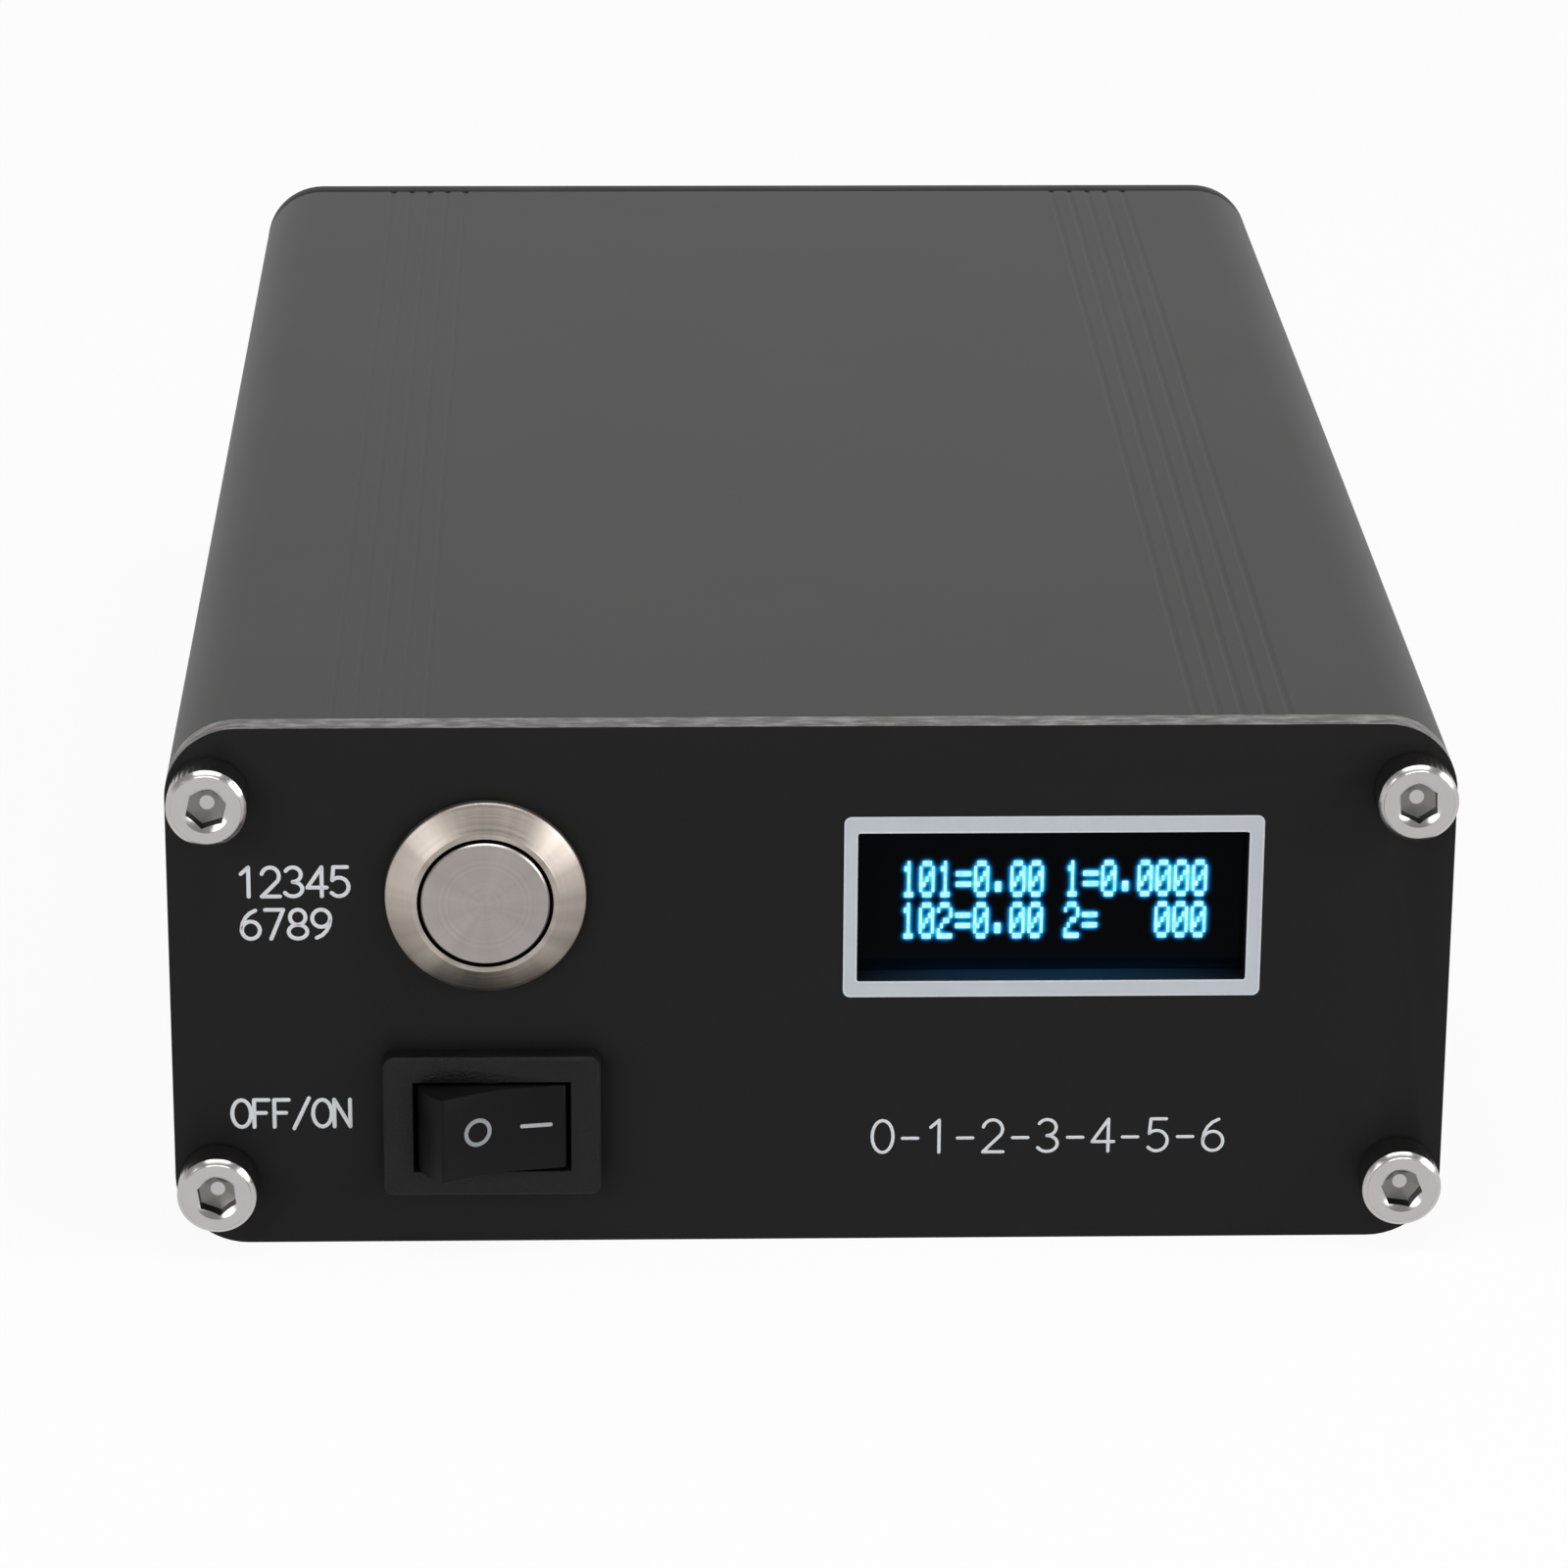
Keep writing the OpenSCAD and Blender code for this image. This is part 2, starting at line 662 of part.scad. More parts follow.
module switch_frame() {
    corner = 0.8;
    edge = 0.2;
    color(moulded_black) on_front(switch_x, switch_z) difference() {
        union() {
            intersection() {
                linear_extrude(bezel_t) round_rect(bezel_w, bezel_h, corner);
                rotate([90, 0, 0]) linear_extrude(bezel_h, center = true) bevelled(bezel_w, bezel_t, edge);
                rotate([90, 0, 90]) linear_extrude(bezel_w, center = true) bevelled(bezel_h, bezel_t, edge);
            }
            translate([0, 0, -switch_depth / 2]) cube([body_w, body_h, switch_depth], center = true);
            for (s = [-1, 1]) rotate([90, 0, s * 90 - 90]) linear_extrude(body_h / 2, center = true)
                polygon([[body_w / 2 - cut, -panel_t - fit_gap], [body_w / 2, -panel_t - fit_gap],
                    [body_w / 2 + barb_reach, -panel_t - 2 * fit_gap - barb_reach],
                    [body_w / 2, -panel_t - barb_l], [body_w / 2 - cut, -panel_t - barb_l]]);
        }
        translate([-well_w / 2, -well_h / 2, well_floor]) cube([well_w, well_h, bezel_t - well_floor + cut]);
        translate([0, 0, pivot_z]) rotate([90, 0, 0])
            cylinder(rocker_w + 2 * pivot_l + 2 * fit_gap, d = pivot_d + 2 * thread_gap, center = true);
        for (s = [-1, 1]) translate([s * blade_x, 0, -switch_depth])
            cube([blade_t + 2 * thread_gap, blade_w + 2 * thread_gap, 2 * cut], center = true);
    }
}

// Rocker with round ends about its pivot and a face of two leaning halves, drawn in its middle
// position and tilted to on: its right end is pressed in.
module switch_rocker() {
    back = -1.8;
    lean = rocker_r * tan(rocker_v);
    color(moulded_black) on_front(switch_x, switch_z) translate([0, 0, pivot_z]) rotate([0, rocker_tilt, 0]) {
        rotate([90, 0, 0]) linear_extrude(rocker_w, center = true) intersection() {
            circle(rocker_r);
            polygon([[-rocker_r, back], [rocker_r, back], [rocker_r, rocker_rise + lean], [0, rocker_rise],
                [-rocker_r, rocker_rise + lean]]);
        }
        rotate([90, 0, 0]) cylinder(rocker_w + 2 * pivot_l, d = pivot_d, center = true);
    }
}

module switch_terminals() color(gold_brass) on_front(switch_x, switch_z) {
    hole_d = 1.8;
    hole_in = 2;
    for (s = [-1, 1]) translate([s * blade_x, 0, -switch_depth - blade_l]) difference() {
        translate([-blade_t / 2, -blade_w / 2, 0]) cube([blade_t, blade_w, blade_l + cut]);
        translate([0, 0, hole_in]) rotate([0, 90, 0]) cylinder(blade_t + 2 * cut, d = hole_d, center = true);
    }
}

module display_glass() {
    sheet = glass_t / 2;
    ledge = 1.6;
    color([0.02, 0.02, 0.03]) on_front(display_x, display_z) {
        translate([0, 0, -panel_t - sheet / 2]) cube([glass_w - 2 * ledge, glass_h, sheet], center = true);
        translate([0, 0, glass_back + sheet / 2]) cube([glass_w, glass_h, sheet], center = true);
    }
}

module display_board() {
    hole_d = 1.1;
    color(board_green) on_front(display_x, display_z) difference() {
        translate([0, 0, module_back + module_t / 2]) cube([module_w, module_h, module_t], center = true);
        translate([plug_x - display_x, 0, 0]) for (i = [0 : display_ways - 1])
            translate([0, (i - (display_ways - 1) / 2) * lead_pitch, module_back - cut])
                cylinder(module_t + 2 * cut, d = hole_d);
    }
}

module display_pads() {
    color([0.85, 0.85, 0.82]) on_front(display_x, display_z) {
        for (s = [-1, 1]) translate([s * (module_w - pad_w) / 2, 0, -panel_t - glass_t / 2])
            cube([pad_w, module_h - 1, glass_t], center = true);
    }
}

module display_plug() color(moulded_black) on_front(plug_x, display_z)
    translate([0, 0, module_back - plug_l / 2])
        cube([plug_t, display_ways * lead_pitch, plug_l], center = true);

// Coaxial socket: square flange, threaded tube and stepped bore that holds the insulator
module socket_shell() {
    difference() {
        union() {
            linear_extrude(socket_t) difference() {
                round_rect(socket_w, socket_w, 2);
                at_socket_screws() circle(clear_hole_r);
            }
            translate([0, 0, -boss_l]) cylinder(boss_l + cut, r = boss_r);
            cylinder(socket_t + thread_l, d = thread_d);
        }
        translate([0, 0, socket_floor]) cylinder(socket_t + thread_l, d = shell_bore);
        translate([0, 0, -boss_l - cut]) cylinder(boss_l + socket_t + cut, r = throat_r + thread_gap);
    }
}

module socket_insulator() {
    difference() {
        rotate_extrude() polygon([[0, insulator_top], [shell_bore / 2 - thread_gap, insulator_top],
            [shell_bore / 2 - thread_gap, socket_floor], [throat_r, socket_floor], [throat_r, insulator_back],
            [0, insulator_back]]);
        translate([0, 0, insulator_back - cut])
            cylinder(insulator_top - insulator_back + 2 * cut, r = contact_d / 2 + thread_gap);
    }
}

module socket_contact() {
    collar = 0.6;
    rotate_extrude() polygon([[contact_bore / 2, contact_top], [contact_d / 2, contact_top],
        [contact_d / 2, insulator_back], [contact_d / 2 + collar, insulator_back],
        [contact_d / 2 + collar, insulator_back - collar], [tail_d / 2, insulator_back - collar],
        [tail_d / 2, insulator_back - tail_l], [0, insulator_back - tail_l],
        [0, contact_top - contact_depth], [contact_bore / 2, contact_top - contact_depth]]);
}

module antenna_socket_shell() color(nickel) on_back(antenna_x, 0) socket_shell();

module antenna_socket_insulator() color(white_insulator) on_back(antenna_x, 0) socket_insulator();

module antenna_socket_contact() color(gold_brass) on_back(antenna_x, 0) socket_contact();

module transmitter_socket_shell() color(nickel) on_back(transmitter_x, 0) socket_shell();

module transmitter_socket_insulator() color(white_insulator) on_back(transmitter_x, 0) socket_insulator();

module transmitter_socket_contact() color(gold_brass) on_back(transmitter_x, 0) socket_contact();

module socket_screws() color(nickel) for (x = [antenna_x, transmitter_x]) on_back(x, 0)
    at_socket_screws() translate([0, 0, socket_t]) socket_screw(flange_screw_l, pan_h);

module socket_nuts() color(nickel) for (x = [antenna_x, transmitter_x]) on_back(x, 0)
    at_socket_screws() translate([0, 0, -panel_t - socket_nut_t])
        hex_nut(socket_nut_af, socket_nut_t, screw_hole_r);

module power_inlet_body() {
    chamfer = 0.4;
    pin_hole_r = jack_pin_d / 2 + thread_gap;
    color(moulded_black) on_back(jack_x, 0) difference() {
        rotate_extrude() polygon([[jack_bore / 2, jack_flange_t],
            [jack_flange_d / 2 - chamfer, jack_flange_t], [jack_flange_d / 2, jack_flange_t - chamfer],
            [jack_flange_d / 2, 0], [jack_d / 2, 0], [jack_d / 2, -jack_l], [pin_hole_r, -jack_l],
            [pin_hole_r, jack_floor], [jack_bore / 2, jack_floor]]);
        for (s = [-1, 1]) translate([s * tab_x, 0, -jack_l])
            cube([tab_t + 2 * thread_gap, tab_w + 2 * thread_gap, 2 * cut], center = true);
    }
}

module power_inlet_pin() {
    tip = 0.5;
    pin_top = jack_flange_t - 1;
    color(nickel) on_back(jack_x, 0) rotate_extrude() polygon([[0, pin_top], [jack_pin_d / 2 - tip, pin_top],
        [jack_pin_d / 2, pin_top - tip], [jack_pin_d / 2, -jack_l], [0, -jack_l]]);
}

module power_inlet_nut() color(nickel) on_back(jack_x, 0)
    translate([0, 0, -panel_t - jack_nut_t]) hex_nut(jack_nut_af, jack_nut_t, jack_d / 2 + thread_gap);

module power_inlet_terminals() color(gold_brass) on_back(jack_x, 0) {
    for (s = [-1, 1]) translate([s * tab_x - tab_t / 2, -tab_w / 2, -jack_l - tab_l])
        cube([tab_t, tab_w, tab_l + cut]);
}

module main_board() color(board_green) translate([0, board_y, board_z + board_t / 2])
    cube([board_w, board_l, board_t], center = true);

// Row of n relays, each a box with broken top edges
module relay_row(x, n) {
    edge = 0.5;
    for (i = [0 : n - 1]) translate([x, board_y + (i - (n - 1) / 2) * relay_pitch, top_z])
        intersection() {
            rotate([90, 0, 0]) linear_extrude(relay_w, center = true) bevelled(relay_l, relay_h, edge);
            rotate([90, 0, 90]) linear_extrude(relay_l, center = true) bevelled(relay_w, relay_h, edge);
        }
}

module inductor_relays() color([0.9, 0.9, 0.88]) relay_row(-relay_x, relay_n - 1);

module capacitor_relays() color([0.9, 0.9, 0.88]) relay_row(relay_x, relay_n);

// Ring core lying on z = 0, with a section of broken corners
module ring_core(od, id, t) {
    edge = 0.8;
    rotate_extrude() polygon([[id / 2, edge], [id / 2 + edge, 0], [od / 2 - edge, 0], [od / 2, edge],
        [od / 2, t - edge], [od / 2 - edge, t], [id / 2 + edge, t], [id / 2, t - edge]]);
}

// Winding round such a core: eight points a turn, and ends that run down to the board
module ring_winding(od, id, t, turns) {
    edge = 0.8;
    gap = wire_d / 2 + wire_gap;
    inner = id / 2 - gap;
    outer = od / 2 + gap;
    section = [[outer, edge], [outer, t - edge], [outer - edge - gap, t + gap], [inner + edge + gap, t + gap],
        [inner, t - edge], [inner, edge], [inner + edge + gap, -gap], [outer - edge - gap, -gap]];
    span = 300;
    turn_path = [for (i = [0 : turns * 8 - 1])
        let (q = section[i % 8], a = span * i / (turns * 8)) [q.x * cos(a), q.x * sin(a), q.y]];
    first = turn_path[0];
    last = turn_path[turns * 8 - 1];
    path = concat([[first.x, first.y, -core_lift], [first.x, first.y, -core_lift / 2]], turn_path,
        [[last.x, last.y, -core_lift]]);
    print_gap("a ring winding", path, wire_d, 5);
    tube(path, wire_d);
}

function core_y(i) = first_core_y - i * core_pitch;

function meter_y(i) = first_meter_y - i * meter_pitch;

// Places children at each inductor core, and at each core of the power meter
module at_cores() {
    for (i = [0 : core_count - 1]) translate([-core_x, core_y(i), top_z + core_lift]) children();
}
module at_meter_cores() {
    for (i = [0 : meter_n - 1]) translate([meter_x, meter_y(i), top_z + core_lift]) children();
}

module inductor_cores() color([0.75, 0.2, 0.15]) at_cores() ring_core(core_od, core_id, core_t);

module inductor_windings() color(copper) at_cores() ring_winding(core_od, core_id, core_t, core_turns);

module meter_cores() color([0.25, 0.25, 0.27]) at_meter_cores() ring_core(meter_od, meter_id, core_t);

module meter_windings() color(copper) at_meter_cores()
    ring_winding(meter_od, meter_id, core_t, meter_turns);

// Air coils across the board, in a row at its front, each with two straight feet
module air_coils() {
    steps = 12;
    half = coil_turns * coil_pitch / 2;
    axis_z = coil_r + wire_d / 2 + coil_lift;
    row_y = coil_start - coil_room / 2;
    helix = [for (i = [0 : coil_turns * steps])
        let (a = 360 * i / steps) [i / steps * coil_pitch - half, coil_r * cos(a), axis_z + coil_r * sin(a)]];
    path = concat([[-half, coil_r, 0], [-half, coil_r, axis_z / 2]], helix,
        [[half, coil_r, axis_z / 2], [half, coil_r, 0]]);
    print_gap("an air coil", path, wire_d, steps / 2);
    color(copper) for (i = [0 : coil_n - 1])
        translate([-core_x, row_y - i * coil_room, top_z]) tube(path, wire_d);
}

// Disc capacitors on edge beside the relays that switch them
module tuning_capacitors() {
    disc_r = 3.5;
    leg_d = 0.6;
    leg_h = 2;
    disc_n = relay_n - 1;
    color([0.2, 0.45, 0.75]) for (i = [0 : disc_n - 1])
        translate([disc_x, board_y + (i - (disc_n - 1) / 2) * relay_pitch, top_z]) {
            translate([0, 0, leg_h + disc_r]) rotate([0, 90, 0]) cylinder(disc_t, r = disc_r, center = true);
            for (s = [-1, 1]) translate([0, s * disc_r / 2, 0]) cylinder(leg_h + disc_r / 2, d = leg_d);
        }
}

module microcontroller() color(moulded_black) translate([chip_x, chip_top_y - chip_l / 2, top_z]) {
    translate([-chip_w / 2, -chip_l / 2, chip_lift]) cube([chip_w, chip_l, chip_h]);
    for (s = [-1, 1], i = [0 : chip_pins - 1])
        translate([s * chip_w / 2, (i - (chip_pins - 1) / 2) * lead_pitch, chip_pin_h / 2])
            cube([chip_pin, chip_pin, chip_pin_h], center = true);
}

// Regulator on three legs, with a drilled tab above its body
module voltage_regulator() {
    leg = 0.8;
    leg_h = 3;
    tab_thick = 1.3;
    tab_h = 6;
    hole_d = 3.6;
    body_top = leg_h + regulator_h;
    color(moulded_black) translate([supply_x, regulator_y, top_z]) rotate(90) difference() {
        union() {
            translate([-regulator_w / 2, -regulator_t / 2, leg_h])
                cube([regulator_w, regulator_t, regulator_h]);
            translate([-regulator_w / 2, regulator_t / 2 - tab_thick, body_top - cut])
                cube([regulator_w, tab_thick, tab_h + cut]);
            for (i = [-1 : 1]) translate([i * lead_pitch - leg / 2, -leg / 2, 0])
                cube([leg, leg, leg_h + cut]);
        }
        translate([0, 0, body_top + tab_h / 2]) rotate([90, 0, 0])
            cylinder(2 * regulator_t, d = hole_d, center = true);
    }
}

module smoothing_capacitors() {
    edge = 0.6;
    color([0.12, 0.14, 0.3]) for (i = [0 : can_n - 1])
        translate([supply_x, chip_top_y - can_d / 2 - i * can_pitch, top_z])
            rotate_extrude() polygon([[0, 0], [can_d / 2, 0], [can_d / 2, can_h - edge],
                [can_d / 2 - edge, can_h], [0, can_h]]);
}

// Places children at each board header, with its number of ways
module at_headers() {
    for (h = [[power_plug_x, control_ways], [button_plug_x, control_ways], [display_plug_x, display_ways]])
        translate([h[0], header_y, top_z]) {
            $ways = h[1];
            children();
        }
}

module header_block(w, depth, h) translate([-w / 2, -depth / 2, 0]) cube([w, depth, h]);

module board_headers() color(white_insulator) at_headers() difference() {
    header_block(header_w($ways), header_depth, header_h);
    translate([0, 0, header_wall]) header_block($ways * lead_pitch, header_depth - 2 * header_wall, header_h);
}

module lead_plugs() color(white_insulator) at_headers() translate([0, 0, header_wall])
    header_block($ways * lead_pitch - 2 * fit_gap, header_depth - 2 * header_wall - 2 * fit_gap,
        plug_top - top_z - header_wall);

// Four leads from the display's plug to its header on the board
module display_leads() {
    from_y = front_y - module_back + plug_l;
    color([0.3, 0.3, 0.5]) for (i = [0 : display_ways - 1]) {
        step = (i - (display_ways - 1) / 2) * lead_pitch;
        from = [plug_x, from_y, mid_z + display_z + step];
        to = [display_plug_x + step, header_y, plug_top];
        middle = [(from.x + to.x) / 2, from.y + 7, (from.z + to.z) / 2 + 3];
        tube(smooth([from, from + [0, 2, 0], middle, to + [0, 0, 3], to], 5), lead_d);
    }
}

// Two leads from the button's pins to their header
module button_leads() {
    from_y = front_y - base_bottom + pin_out;
    color([0.75, 0.72, 0.3]) for (s = [-1, 1]) {
        from = [button_x + s * pin_x, from_y, mid_z + button_z];
        to = [button_plug_x - s * lead_pitch / 2, header_y, plug_top];
        high = mid_z + button_z - 1.5 * s + 1;
        tube(smooth([from, from + [0, 2, 0], [from.x + 5, from.y + 4, high], [to.x - 6, to.y, high],
            to + [0, 0, 3], to], 5), lead_d);
    }
}

// Leads of the switch: one to its header on the board, one under the board to the power inlet
module switch_leads() {
    blade_y = front_y + switch_depth + blade_l;
    from_z = mid_z + switch_z;
    to = [power_plug_x, header_y, plug_top];
    near = [switch_x + blade_x, blade_y, from_z];
    far = [switch_x - blade_x, blade_y, from_z];
    live = [jack_x - tab_x, tab_y, mid_z];
    earth = [jack_x + tab_x, tab_y, mid_z];
    pad = [jack_x + 10, board_back - pad_in, top_z];
    low = wall_t + 3;
    rise_y = board_back + 2;
    color([0.7, 0.12, 0.1]) {
        tube(smooth([near, near + [0, 1.5, 0], [near.x + 2, near.y + 3.5, from_z + 5],
            [to.x - 4, to.y - 3, plug_top + 1], to + [0, 0, 2], to], 5), lead_d);
        tube(smooth([far, far + [0, 1.5, 0], [far.x, far.y + 6, low],
            [far.x - 3, board_front + lead_bend, low], [live.x, board_back - lead_bend, low],
            [live.x, rise_y - 2, low + 1], [live.x, rise_y, mid_z - 7],
            [live.x, rise_y + 0.5, mid_z - 2], live + [0, -1, 0], live], 5), lead_d);
    }
    color(moulded_black)
        tube(smooth([earth, earth + [0, -1.5, 0], pad + [-2, 2, 6], pad + [0, 0, 2], pad], 5), lead_d);
}

// Stiff leads from the socket contacts down to the board
module socket_leads() color(nickel) for (x = [antenna_x, transmitter_x]) {
    from = [x, tail_y, mid_z];
    pad = [x, board_back - pad_in, top_z];
    tube(smooth([from, from + [0, -2, 0], [x, pad.y + 2, from.z - 3], pad + [0, 0, 2], pad], 5), coax_d, 8);
}

upper_shell();
lower_shell();
front_panel();
rear_panel();
front_panel_screws();
rear_panel_screws();
button_housing();
button_seal();
button_cap();
button_spring();
button_base();
button_terminals();
button_nut();
switch_frame();
switch_rocker();
switch_terminals();
display_glass();
display_board();
display_pads();
display_plug();
antenna_socket_shell();
antenna_socket_insulator();
antenna_socket_contact();
transmitter_socket_shell();
transmitter_socket_insulator();
transmitter_socket_contact();
socket_screws();
socket_nuts();
power_inlet_body();
power_inlet_pin();
power_inlet_nut();
power_inlet_terminals();
main_board();
inductor_relays();
capacitor_relays();
inductor_cores();
inductor_windings();
air_coils();
tuning_capacitors();
meter_cores();
meter_windings();
microcontroller();
voltage_regulator();
smoothing_capacitors();
board_headers();
lead_plugs();
display_leads();
button_leads();
switch_leads();
socket_leads();
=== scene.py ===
import json
import math

import bmesh
import bpy
import numpy as np
from mathutils import Matrix, Vector


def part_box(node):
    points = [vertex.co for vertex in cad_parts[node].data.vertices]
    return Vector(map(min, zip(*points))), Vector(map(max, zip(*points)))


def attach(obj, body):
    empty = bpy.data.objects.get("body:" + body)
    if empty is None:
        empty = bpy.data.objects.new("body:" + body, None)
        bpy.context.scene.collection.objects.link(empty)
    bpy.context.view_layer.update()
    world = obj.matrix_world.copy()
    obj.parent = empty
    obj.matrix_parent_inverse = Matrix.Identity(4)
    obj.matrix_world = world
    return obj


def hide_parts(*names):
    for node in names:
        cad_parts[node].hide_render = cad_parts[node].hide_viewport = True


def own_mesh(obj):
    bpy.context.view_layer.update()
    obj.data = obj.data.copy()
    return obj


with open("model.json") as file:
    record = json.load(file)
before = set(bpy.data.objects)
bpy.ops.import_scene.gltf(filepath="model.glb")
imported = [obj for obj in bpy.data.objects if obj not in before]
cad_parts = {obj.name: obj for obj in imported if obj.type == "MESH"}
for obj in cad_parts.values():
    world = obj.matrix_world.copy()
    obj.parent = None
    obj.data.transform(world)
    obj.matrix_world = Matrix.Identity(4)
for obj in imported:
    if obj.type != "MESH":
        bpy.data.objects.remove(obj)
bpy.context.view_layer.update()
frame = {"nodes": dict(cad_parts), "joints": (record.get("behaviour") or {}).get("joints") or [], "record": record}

# Lengths are in millimetres up to the point where a mesh is made, and MM turns them into metres.
MM = 0.001
nodes = frame["nodes"]


def box_mm(node):
    """The lowest and highest corner of a CAD node, in millimetres."""
    low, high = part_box(node)
    return low / MM, high / MM


def middle(node):
    """The middle of a CAD node, in millimetres."""
    low, high = box_mm(node)
    return (low + high) / 2


# Places that the frame gives
PANEL_LOW, PANEL_HIGH = box_mm("front_panel")
FRONT_Y = PANEL_LOW.y
BACK_Y = box_mm("rear_panel")[1].y
MID_Z = (PANEL_LOW.z + PANEL_HIGH.z) / 2
GLASS_Y = box_mm("display_glass")[0].y
BUTTON = middle("button_housing")
ROCKER_PIVOT = Vector(next(j for j in frame["joints"] if j["name"] == "rocker_tilt")["pos_m"]) / MM

# Case: strips of a panel that hold its cut edge, and grooves that blasting has softened
PANEL_SIDE_W = 3.0
PANEL_END_W = 1.6
GROOVE_KEPT = 0.75
GROOVE_DEEPEST = 0.2
GROOVE_MARGIN = 8.0

# Screws: M3 socket heads, and the same with a low head on the socket flanges
HEAD_R = 2.75
HEAD_H = 3.0
LOW_HEAD_H = 1.9
HEAD_CHAMFER = 0.34
RIBS = 36
RIB_DEPTH = 0.07
SHANK_R = 1.5
PANEL_SHANK_L = 10
FLANGE_SHANK_L = 8
THREAD_PITCH = 0.5
THREAD_DEPTH = 0.26
HEX_AF = 2.5
HEX_DEPTH = 1.55
HEX_FLOOR_LEAST = 0.45
HEX_MOUTH_R = 1.62
HEX_MOUTH_SLOPE = 0.75
HEX_MOUTH_H = 0.35
HEX_WALL_R = HEX_MOUTH_R - 0.12
HEX_FLOOR_R = 1.2
HEX_DISC_R = 0.53
SCREW_X = 41.0
SCREW_Z = 14.25
SCREW_TURNS = (8, -13, 22, 3)
SOCKET_SCREW_OFF = 9.1

# Push button: flange with a flat ring, barrel, seal, and a cap with a skirt and a stem
FLANGE_R = 6.9
FLANGE_H = 1.7
RING_R = 5.0
CAP_HOLE_R = 4.65
LIP_LOW = 0.9
BARREL_R = 5.9
BARREL_BORE_R = 5.17
BARREL_L = 18.0
SEAL_R = 6.55
SEAL_H = 0.4
CAP_R = 4.4
CAP_H = 1.9
SKIRT_R = 4.97
SKIRT_HIGH = 0.8
SKIRT_LOW = -1.2
STEM_R = 1.8
STEM_LOW = -9.2
TURNED_N = 192

# Rocker: each half of its face leans from the middle and has a mark let into it
ROCKER_RISE = 2.0
ROCKER_LEAN = math.radians(9)
ROCKER_TILT = math.radians(18)
OFF_MARK_AT = 1.75
ON_MARK_AT = 2.43
MARK_UP = 0.25
MARK_RISE = 0.03
MARK_SINK = -0.08
RING_MARK_IN = 0.74
RING_MARK_OUT = 1.04
DASH_LOW = (-1.12, -0.14)
DASH_HIGH = (1.12, 0.14)
DASH_CORNER = 0.1

# Display window, its printed surround, its characters and their glow
WINDOW_LOW = (3.15, 19.4)
WINDOW_HIGH = (29.85, 30.2)
SURROUND_LOW = (2.17, 18.2)
SURROUND_HIGH = (30.9, 31.43)
SURROUND_CORNER = 0.5
LINE_W = 0.13
LINE_GAP = 0.04
LINE_CORNER = 0.3
INK_SINK = -0.02
INK_RISE = 0.035
LINE_RISE = INK_RISE + 0.01
DOT_W = 0.2085
DOT_H = 0.382
DOT_THICK = 0.02
DOT_FRONT = GLASS_Y - 0.05
CHAR_DOTS = 6
TEXT_LEFT = 6.2
TEXT_TOP = 27.45
ROW_PITCH = 3.06
GLOW_FRONT = GLASS_Y - 0.02
GLOW_INSET = 0.05
GLOW_STEP = 0.1
GLOW_REACH = 0.18
GLOW_FULL = 1.3
# A painted glow along the bottom of the window, for the light that the glass's edge gives back
EDGE_GLOW = 0.05
EDGE_GLOW_H = 0.6
EDGE_GLOW_FADE = 1.15

# Lettering: a round pen, and the letters' width for a height of one
PEN_R = 0.14
THIN_PEN_R = 0.115
PEN_RISE = 0.03
LETTER_W = 0.62
ARC_STEP = 18

# Coaxial sockets: 5/8 inch thread with 24 turns to the inch
SOCKET_THREAD_R = 7.94
SOCKET_PITCH = 25.4 / 24
SOCKET_THREAD_CUT = 0.62
SOCKET_RUN_IN = 0.9
SOCKET_RUN_OUT = 0.5
SOCKET_FLANGE = 3.0
SOCKET_THREAD_L = 11.5
SOCKET_BORE_R = 6.4
SOCKET_CHAMFER = 0.5
SOCKET_TUBE_L = 10.0
SOCKET_THINNED = 0.9
NOTCH_DEPTH = 0.7
NOTCH_HALF = math.radians(7)
LEVELS_PER_TURN = 9
CONTACT_R = 2.9
CONTACT_BORE_R = 2.0
CONTACT_EASE = 0.3
CONTACT_MOUTH = 0.25
CONTACT_TOP_H = 0.5
FINGERS = 4
FINGER_SINK = 0.1
SLOT_DEPTH = 5.0
SLOT_W = 0.6

# Mesh work: edges that turn more than these angles are rounded or kept sharp
EASED_ANGLE = 48
SMOOTH_ANGLE = 35
NEAR = 0.05
WELD_DISTANCE = 1e-6


# Mesh helpers

def on_front(x, z):
    """Local z points out of the front panel at x, z."""
    return Matrix(((1, 0, 0, x), (0, 0, -1, FRONT_Y), (0, 1, 0, z), (0, 0, 0, 1)))


def on_back(x, z):
    """Local z points out of the rear panel at x, z."""
    return Matrix(((-1, 0, 0, x), (0, 0, 1, BACK_Y), (0, 1, 0, z), (0, 0, 0, 1)))


def skin(rings, fill=(True, True), loop=False):
    """A surface through rings of equally many points, with its ends filled, or joined end to start."""
    n = len(rings[0])
    points = [tuple(p) for ring in rings for p in ring]
    pairs = len(rings) if loop else len(rings) - 1
    faces = []
    for i in range(pairs):
        a, b = i * n, (i + 1) % len(rings) * n
        faces += [(a + j, a + (j + 1) % n, b + (j + 1) % n, b + j) for j in range(n)]
    if not loop:
        if fill[0]:
            faces.append(tuple(range(n))[::-1])
        if fill[1]:
            faces.append(tuple(range(len(points) - n, len(points))))
    return points, faces


def wavy(wave, n):
    """A ring of n points about the z axis; wave gives the radius and the height at an angle."""
    ring = []
    for i in range(n):
        a = 2 * math.pi * i / n
        r, z = wave(a)
        ring.append((r * math.cos(a), r * math.sin(a), z))
    return ring


def circle(r, z, n):
    """A ring of n points about the z axis at one radius and height."""
    return wavy(lambda a: (r, z), n)


def lathe(profile, n, **ends):
    """A turned shape through (radius, height) points."""
    return skin([circle(r, z, n) for r, z in profile], **ends)


